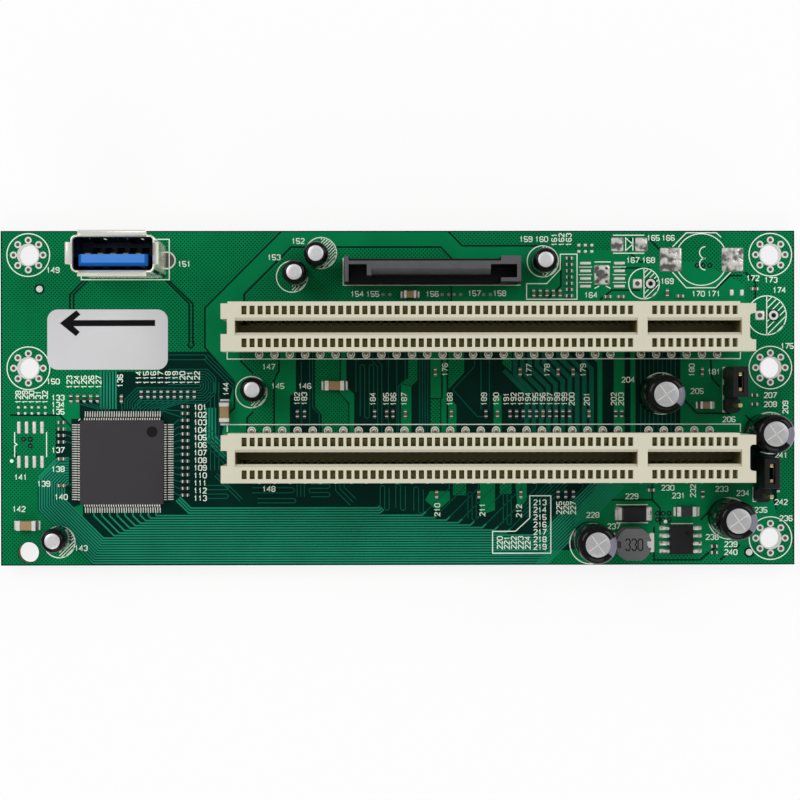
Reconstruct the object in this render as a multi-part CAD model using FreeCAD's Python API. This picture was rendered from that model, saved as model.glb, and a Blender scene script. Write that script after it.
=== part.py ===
import FreeCAD, Part
import os

Vector = FreeCAD.Vector

# Adapter card: a board that carries two card slots, a data socket and a power plug.
# X runs along the board, Y across it, Z up from the component side.
# The origin is under the middle of the board, level with the tips of the soldered tails.

# Board
BOARD_LENGTH = 132.0
BOARD_WIDTH = 55.6
BOARD_THICKNESS = 1.6
TAIL_DROP = 1.5

# Mounting holes
HOLE_DIAMETER = 3.4
LEFT_HOLE_INSET = 4.6
RIGHT_HOLE_INSET = 4.0
TOP_HOLE_INSET = 4.0
HOLE_ROW_SPACING = 18.8
RIGHT_CORNER_HOLE_INSET = 4.4
LEFT_CORNER_HOLE_INSET = 2.2

# Card slots
SLOT_SPACING = 20.8
SLOT_RIGHT_INSET = 51.8
SLOT_MIDLINE = 0.91
CONTACT_PITCH = 1.27
CONTACT_COUNT = 62
CONTACT_SHIFT = 0.19
KEY_FIRST = 50
KEY_LAST = 51
TAIL_ROW_STEP = 2.7

# Slot housing
HOUSING_WIDTH = 7.85
HOUSING_HEIGHT = 15.3
HOUSING_END = 3.49
SIDE_WALL = 0.6
RIM_HEIGHT = 5.0
UNDERCUT = 0.3
LID_THICKNESS = 1.6
SKIRT_GAP = 2.4
FOOT_WIDTH = 5.0
CARD_GAP = 1.9
CARD_DEPTH = 8.4
GAP_END_MARGIN = 1.28
KEY_BAR = 1.55
LEAD_IN_WIDTH = 0.45
LEAD_IN_DEPTH = 0.6
SPINE_WIDTH = 1.1
SPINE_STANDOFF = 0.4
WINDOW_LENGTH = 0.82
WINDOW_DEPTH = 1.38
WINDOW_ROW = 2.58
END_STEP = 0.3
LEFT_STEP_LENGTH = 1.1
RIGHT_STEP_LENGTH = 2.5
LEFT_NOTCH_WIDTH = 2.4
LEFT_NOTCH_DEPTH = 1.0
RIGHT_NOTCH_WIDTH = 4.2
RIGHT_NOTCH_DEPTH = 0.95
NOTCH_RADIUS = 0.55

# Slot contact: a bowed spring leaf, thickest at its belly
LEAF_THICKNESS = 0.25
LEAF_WIDTH = 0.5
BELLY_OFFSET = 0.75
BELLY_RISE = 8.0
TIP_OFFSET = 3.0
TIP_DROP = 0.9

# Soldered tails on the underside
JOINT_BASE = 1.5

# Data socket
SOCKET_LEFT_INSET = 20.8
SOCKET_TOP_INSET = 4.9
SOCKET_LENGTH = 13.3
SOCKET_WIDTH = 5.9
SOCKET_HEIGHT = 15.0
SHELL_WALL = 0.3
SHELL_CORNER = 0.9
LIP_REACH = 0.75
LIP_END_MARGIN = 1.2
FINGER_WIDTH = 2.0
FINGER_HEIGHT = 5.0
FINGER_SPACING = 6.0
FINGER_SLIT = 0.3
FINGER_TOP_DROP = 2.4
FINGER_BEND = 0.5
LEG_WIDTH = 1.6
LEG_CLEARANCE = 0.2
INSULATOR_CLEARANCE = 0.05
INSULATOR_HEIGHT = 5.0
TONGUE_LENGTH = 11.0
TONGUE_THICKNESS = 1.84
TONGUE_OFFSET = -1.0
TONGUE_DROP = 1.2
TONGUE_CHAMFER = 0.5
WELL_LENGTH = 1.2
WELL_WIDTH = 0.85
WELL_DEPTH = 3.0
WELL_OFFSET = 1.2
LONG_STRIP_COUNT = 4
LONG_STRIP_PITCH = 2.25
LONG_STRIP_WIDTH = 1.0
SHORT_STRIP_COUNT = 5
SHORT_STRIP_PITCH = 2.0
SHORT_STRIP_WIDTH = 0.8
SHORT_STRIP_HEIGHT = 2.0
STRIP_THICKNESS = 0.2
STRIP_GAP = 0.8
FRONT_TAIL_OFFSET = -1.2
BACK_TAIL_OFFSET = 1.4

# Power plug
PLUG_RIGHT_INSET = 60.4
PLUG_TOP_INSET = 6.9
PLUG_LENGTH = 28.6
PLUG_WIDTH = 4.2
PLUG_BASE_HEIGHT = 2.6
PLUG_HEIGHT = 8.5
PLUG_WALL = 0.7
PLUG_TONGUE_LENGTH = 20.1
PLUG_TONGUE_THICKNESS = 2.2
PLUG_TONGUE_SHIFT = -0.65
PLUG_TONGUE_OFFSET = 0.2
PLUG_TONGUE_CHAMFER = 0.9
PLUG_KEY_LENGTH = 0.8
PLUG_KEY_REACH = 0.2
PLUG_RIB = 0.6
GUIDE_REACH = 2.6
POWER_COUNT = 15
POWER_PITCH = 1.27
POWER_STRIP_WIDTH = 0.84
POWER_STRIP_THICKNESS = 0.08
POWER_STRIP_DROP = 1.4

# Bridge chip
CHIP_LEFT_INSET = 20.25
CHIP_BOTTOM_INSET = 17.2
CHIP_SIZE = 14.0
CHIP_THICKNESS = 1.4
CHIP_STANDOFF = 0.1
CHIP_EDGE_DRAFT = 0.12
CHIP_LEAD_COUNT = 32
CHIP_LEAD_PITCH = 0.4
CHIP_LEAD_WIDTH = 0.18
CHIP_LEAD_REACH = 1.0
CHIP_LEAD_THICKNESS = 0.13

# Regulator chip
REGULATOR_RIGHT_INSET = 19.0
REGULATOR_BOTTOM_INSET = 4.2
REGULATOR_LENGTH = 4.9
REGULATOR_WIDTH = 3.9
REGULATOR_THICKNESS = 1.45
REGULATOR_LEAD_PITCH = 1.27
REGULATOR_LEAD_WIDTH = 0.42
REGULATOR_LEADS_PER_SIDE = 4
REGULATOR_LEAD_REACH = 1.05
REGULATOR_LEAD_KNEE = 0.32
REGULATOR_LEAD_HEEL = 0.47
REGULATOR_LEAD_THICKNESS = 0.2

# Inductor
INDUCTOR_RIGHT_INSET = 27.35
INDUCTOR_BOTTOM_INSET = 3.7
INDUCTOR_DIAMETER = 5.8
INDUCTOR_WIDTH = 5.2
INDUCTOR_HEIGHT = 4.5
INDUCTOR_FLANGE = 0.9
INDUCTOR_HUB = 2.6
WINDING_RECESS = 0.25
WINDING_CLEARANCE = 0.05
INDUCTOR_NOTCH_WIDTH = 1.1
INDUCTOR_NOTCH_DEPTH = 0.75
TERMINAL_LENGTH = 1.4
TERMINAL_WIDTH = 2.4
TERMINAL_THICKNESS = 0.25
TERMINAL_REACH = 0.45

# Diode
DIODE_RIGHT_INSET = 26.85
DIODE_BOTTOM_INSET = 8.5
DIODE_LENGTH = 4.0
DIODE_WIDTH = 2.7
DIODE_HEIGHT = 2.2
DIODE_DRAFT = 0.2
DIODE_LEAD_WIDTH = 2.0
DIODE_LEAD_REACH = 0.6
DIODE_LEAD_THICKNESS = 0.2

# Electrolytic capacitors
SMALL_CAN_DIAMETER = 4.0
SMALL_CAN_HEIGHT = 7.0
SMALL_LEAD_PITCH = 1.5
LARGE_CAN_DIAMETER = 6.3
LARGE_CAN_HEIGHT = 11.0
LARGE_LEAD_PITCH = 2.5

# Jumper headers
HEADER_PITCH = 2.54
HEADER_PINS = 3
HEADER_WIDTH = 2.5
HEADER_HEIGHT = 2.5
HEADER_CORNER = 0.5
PIN_SIZE = 0.64
PIN_TOP = 8.6
JUMPER_CLEARANCE = 0.1
JUMPER_HEIGHT = 6.6
JUMPER_WALL = 0.45
JUMPER_WINDOW = 0.9
CLIP_THICKNESS = 0.2
CLIP_GAP = 0.03

# Chip parts: length, width, height
TINY_CHIP = (1.0, 0.5, 0.4)
MEDIUM_CERAMIC = (2.0, 1.25, 1.2)
LARGE_CERAMIC = (3.2, 1.6, 1.5)
LARGE_RESISTOR = (3.2, 1.6, 0.55)

# Label
LABEL_LEFT_INSET = 17.75
LABEL_LENGTH = 20.0
LABEL_WIDTH = 10.0
LABEL_CORNER = 1.75
LABEL_THICKNESS = 0.1
LABEL_RISE = 9.75

# Levels and edges that follow from the sizes above
UNDERSIDE = TAIL_DROP
DECK = TAIL_DROP + BOARD_THICKNESS
LEFT = -BOARD_LENGTH / 2
RIGHT = BOARD_LENGTH / 2
TOP = BOARD_WIDTH / 2
BOTTOM = -BOARD_WIDTH / 2
SLOT_X = RIGHT - SLOT_RIGHT_INSET
SLOT_YS = (SLOT_MIDLINE + SLOT_SPACING / 2, SLOT_MIDLINE - SLOT_SPACING / 2)
CONTACT_SPAN = (CONTACT_COUNT - 1) * CONTACT_PITCH
SOCKET = (LEFT + SOCKET_LEFT_INSET, TOP - SOCKET_TOP_INSET)
PLUG = (RIGHT - PLUG_RIGHT_INSET, TOP - PLUG_TOP_INSET)
CHIP = (LEFT + CHIP_LEFT_INSET, BOTTOM + CHIP_BOTTOM_INSET)
REGULATOR = (RIGHT - REGULATOR_RIGHT_INSET, BOTTOM + REGULATOR_BOTTOM_INSET)
INDUCTOR = (RIGHT - INDUCTOR_RIGHT_INSET, BOTTOM + INDUCTOR_BOTTOM_INSET)
DIODE = (RIGHT - DIODE_RIGHT_INSET, BOTTOM + DIODE_BOTTOM_INSET)

# Places of the capacitors: small cans, then large cans
SMALL_CANS = [
    (PLUG[0] - 19.0, TOP - 4.25),
    (PLUG[0] - 22.5, TOP - 7.3),
    (SLOT_X - 38.0, SLOT_MIDLINE + 0.45),
    (PLUG[0] + 18.4, TOP - 5.3),
    (LEFT + 9.8, BOTTOM + 4.6),
]
LARGE_CANS = [
    (RIGHT - 23.0, SLOT_MIDLINE - 0.35),
    (RIGHT - 5.4, SLOT_MIDLINE - 6.75),
    (RIGHT - 11.4, BOTTOM + 8.0),
    (RIGHT - 34.0, BOTTOM + 4.2),
]

# Places of the two headers (middle pin)
HEADERS = {
    "upper": (RIGHT - 10.7, SLOT_MIDLINE + 0.39),
    "lower": (RIGHT - 5.65, SLOT_MIDLINE - 14.42),
}

# Levels of the rows of chip parts between and beside the slots
MIDDLE_ROW = SLOT_MIDLINE - 3.57
UPPER_ROW = SLOT_MIDLINE + 3.4
LOWER_ROW = SLOT_MIDLINE - 16.95

# Rows of chip parts: first place, step to the next, count, whether each lies along X
RESISTOR_ROWS = [
    ((CHIP[0] + 10.37, CHIP[1] + 9.2), (0, -1.13), 14, True),
    ((CHIP[0] - 8.57, CHIP[1] + 10.55), (2.2, 0), 3, False),
    ((CHIP[0] + 3.1, CHIP[1] + 11.25), (1.1, 0), 9, False),
    ((CHIP[0] - 10.2, CHIP[1] + 6.6), (0, -1.08), 4, True),
    ((SLOT_X - 30.95, MIDDLE_ROW), (1.2, 0), 2, False),
    ((SLOT_X - 18.1, MIDDLE_ROW), (1.0, 0), 1, False),
    ((SLOT_X - 16.1, MIDDLE_ROW), (1.05, 0), 2, False),
    ((SLOT_X + 0.4, MIDDLE_ROW), (1.0, 0), 1, False),
    ((SLOT_X + 4.4, MIDDLE_ROW), (1.1, 0), 5, False),
    ((SLOT_X + 11.0, MIDDLE_ROW), (1.1, 0), 4, False),
    ((SLOT_X + 22.0, MIDDLE_ROW), (1.0, 0), 2, False),
    ((SLOT_X + 12.4, LOWER_ROW), (1.27, 0), 3, False),
    ((RIGHT - 15.3, LOWER_ROW), (1.0, 0), 1, False),
    ((RIGHT - 6.7, SLOT_MIDLINE - 0.5), (0, -1.5), 2, True),
    ((RIGHT - 2.75, SLOT_MIDLINE - 13.15), (0, -2.9), 2, False),
    ((RIGHT - 13.4, BOTTOM + 3.1), (0, -1.05), 2, True),
    ((PLUG[0] + 22.86, TOP - 4.6), (0, -1.04), 7, True),
]
CAPACITOR_ROWS = [
    ((CHIP[0] - 7.47, CHIP[1] + 10.55), (2.2, 0), 2, False),
    ((CHIP[0] - 10.2, CHIP[1] + 0.55), (0, -4.45), 2, True),
    ((CHIP[0] - 0.2, CHIP[1] + 10.5), (1.0, 0), 1, False),
    ((SLOT_X - 13.0, MIDDLE_ROW), (7.65, 0), 3, False),
    ((SLOT_X + 9.9, MIDDLE_ROW), (7.65, 0), 2, False),
    ((SLOT_X - 8.0, UPPER_ROW), (14.1, 0), 2, False),
    ((SLOT_X + 12.4, UPPER_ROW), (2.5, 0), 2, False),
    ((RIGHT - 15.4, UPPER_ROW), (1.0, 0), 1, False),
    ((SLOT_X - 7.8, LOWER_ROW), (7.0, 0), 3, False),
    ((RIGHT - 23.9, LOWER_ROW + 0.7), (1.0, 0), 1, True),
    ((PLUG[0] + 16.95, TOP - 10.4), (1.1, 0), 5, False),
    ((PLUG[0] + 29.3, TOP - 11.0), (2.2, 0), 2, True),
    ((RIGHT - 21.2, TOP - 10.4), (1.0, 0), 1, False),
    ((RIGHT - 19.0, TOP - 10.9), (1.0, 0), 1, True),
    ((RIGHT - 6.6, TOP - 9.7), (1.0, 0), 1, True),
]
LARGE_CHIPS = {
    "ceramic_capacitor_1": ((SLOT_X - 24.75, SLOT_MIDLINE + 1.15), LARGE_CERAMIC, True),
    "ceramic_capacitor_2": ((SLOT_X - 43.0, SLOT_MIDLINE - 3.25), LARGE_CERAMIC, False),
    "ceramic_capacitor_3": ((LEFT + 4.4, BOTTOM + 6.7), LARGE_CERAMIC, True),
    "ceramic_capacitor_4": ((RIGHT - 14.85, SLOT_MIDLINE - 2.15), MEDIUM_CERAMIC, True),
    "ceramic_capacitor_5": ((PLUG[0] - 3.6, TOP - 10.6), MEDIUM_CERAMIC, True),
    "link_resistor": ((RIGHT - 18.0, BOTTOM + 8.85), LARGE_RESISTOR, True),
}


def box(x0, x1, y0, y1, z0, z1):
    return Part.makeBox(x1 - x0, y1 - y0, z1 - z0, Vector(x0, y0, z0))


def block(centre, length, width, z0, z1):
    x, y = centre
    return box(x - length / 2, x + length / 2, y - width / 2, y + width / 2, z0, z1)


def round_block(centre, length, width, z0, z1, radius):
    """An upright block whose four standing edges are round."""
    shape = block(centre, length, width, z0, z1)
    standing = [edge for edge in shape.Edges if abs(edge.tangentAt(edge.FirstParameter).z) > 0.5]
    return shape.makeFillet(radius, standing)


def prism(points, direction):
    corners = [Vector(*point) for point in points]
    return Part.Face(Part.makePolygon(corners + corners[:1])).extrude(Vector(*direction))


def bore(centre, diameter, z0, z1):
    return Part.makeCylinder(diameter / 2, z1 - z0, Vector(centre[0], centre[1], z0))


def join(shapes):
    shape = shapes[0].multiFuse(shapes[1:])
    return shape.removeSplitter()


def drafted_block(centre, length, width, z0, z1, draft):
    """A moulded body, widest at mid height, whose edges draw in towards both faces."""
    middle = (z0 + z1) / 2
    x, y = centre

    def rim(inset, z):
        half_l = length / 2 - inset
        half_w = width / 2 - inset
        corners = [Vector(x + i * half_l, y + j * half_w, z)
                   for i, j in ((-1, -1), (1, -1), (1, 1), (-1, 1), (-1, -1))]
        return Part.makePolygon(corners)

    return Part.makeLoft([rim(draft, z0), rim(0, middle), rim(draft, z1)], True, True)


def pyramid(centre, base, z_base, z_tip):
    """A soldered tail: four slopes from a square foot to the tip."""
    x, y = centre
    half = base / 2
    foot = [Vector(x + i * half, y + j * half, z_base)
            for i, j in ((-1, -1), (1, -1), (1, 1), (-1, 1))]
    tip = Vector(x, y, z_tip)
    faces = [Part.Face(Part.makePolygon(foot + foot[:1]))]
    for start, end in zip(foot, foot[1:] + foot[:1]):
        faces.append(Part.Face(Part.makePolygon([start, end, tip, start])))
    solid = Part.Solid(Part.Shell(faces))
    if solid.Volume < 0:
        solid.reverse()
    return solid


def solder_joints(places):
    return [pyramid(place, JOINT_BASE, UNDERSIDE, 0) for place in places]


def save(name, shapes):
    shape = shapes if isinstance(shapes, Part.Shape) else Part.makeCompound(shapes)
    shape.exportStep("parts/" + name + ".step")


# Places shared by pieces that line up

def contact_numbers():
    return [n for n in range(1, CONTACT_COUNT + 1) if not KEY_FIRST <= n <= KEY_LAST]


def contact_x(number):
    """Contacts stand a little right of the middle of their housing."""
    return CONTACT_SHIFT - CONTACT_SPAN / 2 + (number - 1) * CONTACT_PITCH


def tail_offset(number, side):
    """Tails stand in an inner and an outer row, in turn, opposite on the two sides."""
    outer = (number % 2 == 1) == (side > 0)
    return TAIL_ROW_STEP * (1.5 if outer else 0.5)


def gap_ranges():
    """Both lengths of the card gap, left and right of the key bar."""
    key_middle = (contact_x(KEY_FIRST) + contact_x(KEY_LAST)) / 2
    end = CONTACT_SPAN / 2 + GAP_END_MARGIN
    return [(-end, key_middle - KEY_BAR / 2), (key_middle + KEY_BAR / 2, end)]


def lead_places(centre, pitch):
    return [(centre[0] - pitch / 2, centre[1]), (centre[0] + pitch / 2, centre[1])]


def can_lead_places():
    small = [place for can in SMALL_CANS for place in lead_places(can, SMALL_LEAD_PITCH)]
    large = [place for can in LARGE_CANS for place in lead_places(can, LARGE_LEAD_PITCH)]
    return small + large


def pin_places(header):
    x, y = HEADERS[header]
    middle = (HEADER_PINS - 1) / 2
    return [(x, y + (middle - i) * HEADER_PITCH) for i in range(HEADER_PINS)]


def row(count, pitch):
    return [(i - (count - 1) / 2) * pitch for i in range(count)]


def socket_leg_places():
    reach = (SOCKET_LENGTH - SHELL_WALL) / 2
    return [(SOCKET[0] - reach, SOCKET[1]), (SOCKET[0] + reach, SOCKET[1])]


def socket_tail_places():
    front = [(SOCKET[0] + x, SOCKET[1] + FRONT_TAIL_OFFSET)
             for x in row(LONG_STRIP_COUNT, LONG_STRIP_PITCH)]
    back = [(SOCKET[0] + x, SOCKET[1] + BACK_TAIL_OFFSET)
            for x in row(SHORT_STRIP_COUNT, SHORT_STRIP_PITCH)]
    return front + back


def plug_tail_places():
    return [(PLUG[0] + x, PLUG[1] + PLUG_WIDTH / 4 * (-1) ** i)
            for i, x in enumerate(row(POWER_COUNT, POWER_PITCH))]


def mounting_holes():
    left = LEFT + LEFT_HOLE_INSET
    right = RIGHT - RIGHT_HOLE_INSET
    upper = TOP - TOP_HOLE_INSET
    lower = upper - HOLE_ROW_SPACING
    return [(left, upper), (left, lower), (right, upper), (right, lower),
            (right, BOTTOM + RIGHT_CORNER_HOLE_INSET), (left, BOTTOM + LEFT_CORNER_HOLE_INSET)]


def make_board():
    board = block((0, 0), BOARD_LENGTH, BOARD_WIDTH, UNDERSIDE, DECK)
    holes = [bore(place, HOLE_DIAMETER, UNDERSIDE, DECK) for place in mounting_holes()]
    leg_slot = 2 * LEG_CLEARANCE
    holes += [block(place, SHELL_WALL + leg_slot, LEG_WIDTH + leg_slot, UNDERSIDE, DECK)
              for place in socket_leg_places()]
    return board.cut(Part.makeCompound(holes))


# Card slots

def make_housing():
    """One slot housing round its own middle, standing on the board."""
    end = CONTACT_SPAN / 2 + HOUSING_END
    half = HOUSING_WIDTH / 2
    top = DECK + HOUSING_HEIGHT
    lid = top - LID_THICKNESS
    floor = top - CARD_DEPTH
    gaps = gap_ranges()
    body = box(-end, end, -half, half, DECK + SKIRT_GAP, top)
    chamber_half = half - SIDE_WALL
    cuts = [box(x0, x1, -chamber_half, chamber_half, DECK, lid) for x0, x1 in gaps]
    rim = top - RIM_HEIGHT
    cuts += [box(-end, end, -half, UNDERCUT - half, DECK, rim),
             box(-end, end, half - UNDERCUT, half, DECK, rim)]
    cuts += [box(x0, x1, -CARD_GAP / 2, CARD_GAP / 2, lid, top) for x0, x1 in gaps]
    cuts += [lead_in(x0, x1, top) for x0, x1 in gaps]
    cuts += [box(-end, -end + LEFT_STEP_LENGTH, half - END_STEP, half, DECK, top),
             box(end - RIGHT_STEP_LENGTH, end, half - END_STEP, half, DECK, top)]
    for number in contact_numbers():
        for side in (-1, 1):
            cuts.append(block((contact_x(number), side * WINDOW_ROW), WINDOW_LENGTH, WINDOW_DEPTH, lid, top))
    body = body.cut(Part.makeCompound(cuts))
    feet = [box(-end, gaps[0][0], -FOOT_WIDTH / 2, FOOT_WIDTH / 2, DECK, lid),
            box(gaps[0][1], gaps[1][0], -FOOT_WIDTH / 2, FOOT_WIDTH / 2, DECK, lid),
            box(gaps[1][1], end, -FOOT_WIDTH / 2, FOOT_WIDTH / 2, DECK, lid)]
    spine = box(-end + HOUSING_END / 2, end - HOUSING_END / 2, -SPINE_WIDTH / 2, SPINE_WIDTH / 2,
                DECK + SPINE_STANDOFF, floor)
    body = join([body, spine] + feet)
    return body.cut(end_notches(end, top))


def lead_in(x0, x1, top):
    half = CARD_GAP / 2
    return prism([(x0, -half - LEAD_IN_WIDTH, top), (x0, half + LEAD_IN_WIDTH, top),
                  (x0, half, top - LEAD_IN_DEPTH), (x0, -half, top - LEAD_IN_DEPTH)], (x1 - x0, 0, 0))


def end_notches(end, top):
    left = box(-end, -end + LEFT_NOTCH_DEPTH, -LEFT_NOTCH_WIDTH / 2, LEFT_NOTCH_WIDTH / 2, DECK, top)
    right = box(end - RIGHT_NOTCH_DEPTH, end, -RIGHT_NOTCH_WIDTH / 2, RIGHT_NOTCH_WIDTH / 2, DECK, top)
    inner = [edge for edge in right.Edges
             if edge.Length > HOUSING_HEIGHT / 2 and edge.CenterOfMass.x < end - RIGHT_NOTCH_DEPTH / 2]
    return Part.makeCompound([left, right.makeFillet(NOTCH_RADIUS, inner)])


def make_contact(number, side):
    """A leaf that rises from its tail, bows out towards the card and ends behind its window."""
    x0 = contact_x(number) - LEAF_WIDTH / 2
    belly = DECK + BELLY_RISE
    outline = [(tail_offset(number, side), DECK),
               (BELLY_OFFSET + LEAF_THICKNESS, belly),
               (TIP_OFFSET, DECK + HOUSING_HEIGHT - TIP_DROP),
               (BELLY_OFFSET, belly)]
    return prism([(x0, side * y, z) for y, z in outline], (LEAF_WIDTH, 0, 0))


def make_slots():
    housing = make_housing()
    contacts = Part.makeCompound([make_contact(number, side)
                                  for number in contact_numbers() for side in (-1, 1)])
    for name, slot_y in zip(("upper", "lower"), SLOT_YS):
        place = Vector(SLOT_X, slot_y, 0)
        save(name + "_slot_housing", housing.translated(place))
        save(name + "_slot_contacts", contacts.translated(place))


# Data socket

def make_socket_shell():
    x, y = SOCKET
    top = DECK + SOCKET_HEIGHT - LIP_REACH
    half_l = SOCKET_LENGTH / 2
    half_w = SOCKET_WIDTH / 2
    tube = round_block(SOCKET, SOCKET_LENGTH, SOCKET_WIDTH, DECK, top, SHELL_CORNER)
    inside = 2 * SHELL_WALL
    tube = tube.cut(round_block(SOCKET, SOCKET_LENGTH - inside, SOCKET_WIDTH - inside, DECK, top,
                                SHELL_CORNER - SHELL_WALL))
    finger_top = top - FINGER_TOP_DROP
    finger_low = finger_top - FINGER_HEIGHT
    opening = FINGER_WIDTH + 2 * FINGER_SLIT
    pieces = []
    for offset in (-FINGER_SPACING / 2, FINGER_SPACING / 2):
        tube = tube.cut(block((x + offset, y), opening, SOCKET_WIDTH, finger_low, finger_top))
        for side in (-1, 1):
            pieces.append(spring_finger(x + offset, y, side, finger_top))
    pieces.append(tube)
    for side in (-1, 1):
        pieces.append(lip_along_x(side, half_l - LIP_END_MARGIN, half_w, top))
        pieces.append(lip_along_y(side, half_w - LIP_END_MARGIN, half_l, top))
    for leg in socket_leg_places():
        pieces.append(block(leg, SHELL_WALL, LEG_WIDTH, 0, DECK))
    return join(pieces)


def spring_finger(x, y, side, finger_top):
    """A tongue of the shell wall that leans inwards to grip the mating plug."""
    outer = SOCKET_WIDTH / 2
    inner = outer - SHELL_WALL
    low = finger_top - FINGER_HEIGHT + FINGER_SLIT
    x0 = x - FINGER_WIDTH / 2
    outline = [(x0, y + side * inner, finger_top), (x0, y + side * outer, finger_top),
               (x0, y + side * (outer - FINGER_BEND), low), (x0, y + side * (inner - FINGER_BEND), low)]
    return prism(outline, (FINGER_WIDTH, 0, 0))


def lip_along_x(side, half_run, wall, top):
    x, y = SOCKET
    near = wall - SHELL_WALL
    outline = [(x - half_run, y + side * near, top), (x - half_run, y + side * wall, top),
               (x - half_run, y + side * (wall + LIP_REACH), top + LIP_REACH),
               (x - half_run, y + side * (near + LIP_REACH), top + LIP_REACH)]
    return prism(outline, (2 * half_run, 0, 0))


def lip_along_y(side, half_run, wall, top):
    x, y = SOCKET
    near = wall - SHELL_WALL
    outline = [(x + side * near, y - half_run, top), (x + side * wall, y - half_run, top),
               (x + side * (wall + LIP_REACH), y - half_run, top + LIP_REACH),
               (x + side * (near + LIP_REACH), y - half_run, top + LIP_REACH)]
    return prism(outline, (0, 2 * half_run, 0))


def tongue_centre():
    return (SOCKET[0], SOCKET[1] + TONGUE_OFFSET)


def make_insulator():
    """A base with contact wells in its floor, and the tongue with chamfers along its mouth."""
    inset = SHELL_WALL + INSULATOR_CLEARANCE
    floor = DECK + INSULATOR_HEIGHT
    base = round_block(SOCKET, SOCKET_LENGTH - 2 * inset, SOCKET_WIDTH - 2 * inset, DECK, floor,
                       SHELL_CORNER - inset)
    wells = [block((SOCKET[0] + x, SOCKET[1] + WELL_OFFSET), WELL_LENGTH, WELL_WIDTH, floor - WELL_DEPTH, floor)
             for x in row(SHORT_STRIP_COUNT, SHORT_STRIP_PITCH)]
    x, y = tongue_centre()
    top = DECK + SOCKET_HEIGHT - TONGUE_DROP
    tongue = block((x, y), TONGUE_LENGTH, TONGUE_THICKNESS, floor, top)
    mouth = [edge for edge in tongue.Edges
             if edge.CenterOfMass.z > top - TONGUE_CHAMFER and edge.CenterOfMass.y < y + TONGUE_CHAMFER]
    return join([base.cut(Part.makeCompound(wells)), tongue.makeChamfer(TONGUE_CHAMFER, mouth)])


def make_socket_contacts():
    """Flat strips that lie on the contact face of the tongue."""
    x, y = tongue_centre()
    face = y + TONGUE_THICKNESS / 2
    low = DECK + INSULATOR_HEIGHT
    high = DECK + SOCKET_HEIGHT - TONGUE_DROP - STRIP_THICKNESS
    split = high - SHORT_STRIP_HEIGHT
    strips = []
    for offset in row(LONG_STRIP_COUNT, LONG_STRIP_PITCH):
        strips.append(block((x + offset, face + STRIP_THICKNESS / 2), LONG_STRIP_WIDTH, STRIP_THICKNESS,
                            low, split - STRIP_GAP))
    for offset in row(SHORT_STRIP_COUNT, SHORT_STRIP_PITCH):
        strips.append(block((x + offset, face + STRIP_THICKNESS / 2), SHORT_STRIP_WIDTH, STRIP_THICKNESS,
                            split, high))
    return strips


# Power plug

def plug_tongue():
    x = PLUG[0] + PLUG_TONGUE_SHIFT
    y = PLUG[1] + PLUG_TONGUE_OFFSET
    return x, y


def make_plug_housing():
    x, y = PLUG
    tongue_x, tongue_y = plug_tongue()
    base_top = DECK + PLUG_BASE_HEIGHT
    top = DECK + PLUG_HEIGHT
    half = PLUG_WIDTH / 2
    end = PLUG_LENGTH / 2
    thick = PLUG_TONGUE_THICKNESS / 2
    run = PLUG_TONGUE_LENGTH
    start = tongue_x - run / 2
    base = block(PLUG, PLUG_LENGTH, PLUG_WIDTH, DECK, base_top)
    tongue = prism([(start, tongue_y - thick, base_top), (start, tongue_y + thick, base_top),
                    (start, tongue_y + thick, top),
                    (start, tongue_y - thick + PLUG_TONGUE_CHAMFER, top),
                    (start, tongue_y - thick, top - PLUG_TONGUE_CHAMFER)], (run, 0, 0))
    key = box(start, start + PLUG_KEY_LENGTH, tongue_y - thick - PLUG_KEY_REACH, tongue_y, base_top, top)
    rib_back = tongue_y + thick
    rib_front = rib_back - PLUG_RIB
    wall = x + end - PLUG_WALL
    guide = wall - GUIDE_REACH
    rib = box(x - end, guide, rib_front, rib_back, base_top, top)
    walls = [box(x - end, x - end + PLUG_WALL, y - half, y + half, base_top, top),
             box(wall, x + end, y - half, y + half, base_top, top)]
    guides = [box(guide, wall, rib_front, y + half, base_top, top),
              box(guide, wall, y - half, y - half + PLUG_WALL, base_top, top)]
    return join([base, tongue, key, rib] + walls + guides)


def make_plug_contacts():
    x, y = plug_tongue()
    face = y + PLUG_TONGUE_THICKNESS / 2
    x += PLUG_KEY_LENGTH / 2
    high = DECK + PLUG_HEIGHT - POWER_STRIP_DROP
    thick = POWER_STRIP_THICKNESS
    return [block((x + offset, face + thick / 2), POWER_STRIP_WIDTH, thick, DECK + PLUG_BASE_HEIGHT, high)
            for offset in row(POWER_COUNT, POWER_PITCH)]


# Chips

def make_chip_leads():
    half = CHIP_SIZE / 2
    tip = half + CHIP_LEAD_REACH
    middle = DECK + CHIP_STANDOFF + CHIP_THICKNESS / 2
    thick = CHIP_LEAD_THICKNESS
    leads = []
    for offset in row(CHIP_LEAD_COUNT, CHIP_LEAD_PITCH):
        x0 = offset - CHIP_LEAD_WIDTH / 2
        leaf = prism([(x0, half, middle), (x0, half, middle + thick), (x0, tip, DECK)], (CHIP_LEAD_WIDTH, 0, 0))
        for quarter in range(4):
            lead = leaf.copy()
            lead.rotate(Vector(0, 0, 0), Vector(0, 0, 1), 90 * quarter)
            leads.append(lead.translated(Vector(CHIP[0], CHIP[1], 0)))
    return leads


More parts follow.
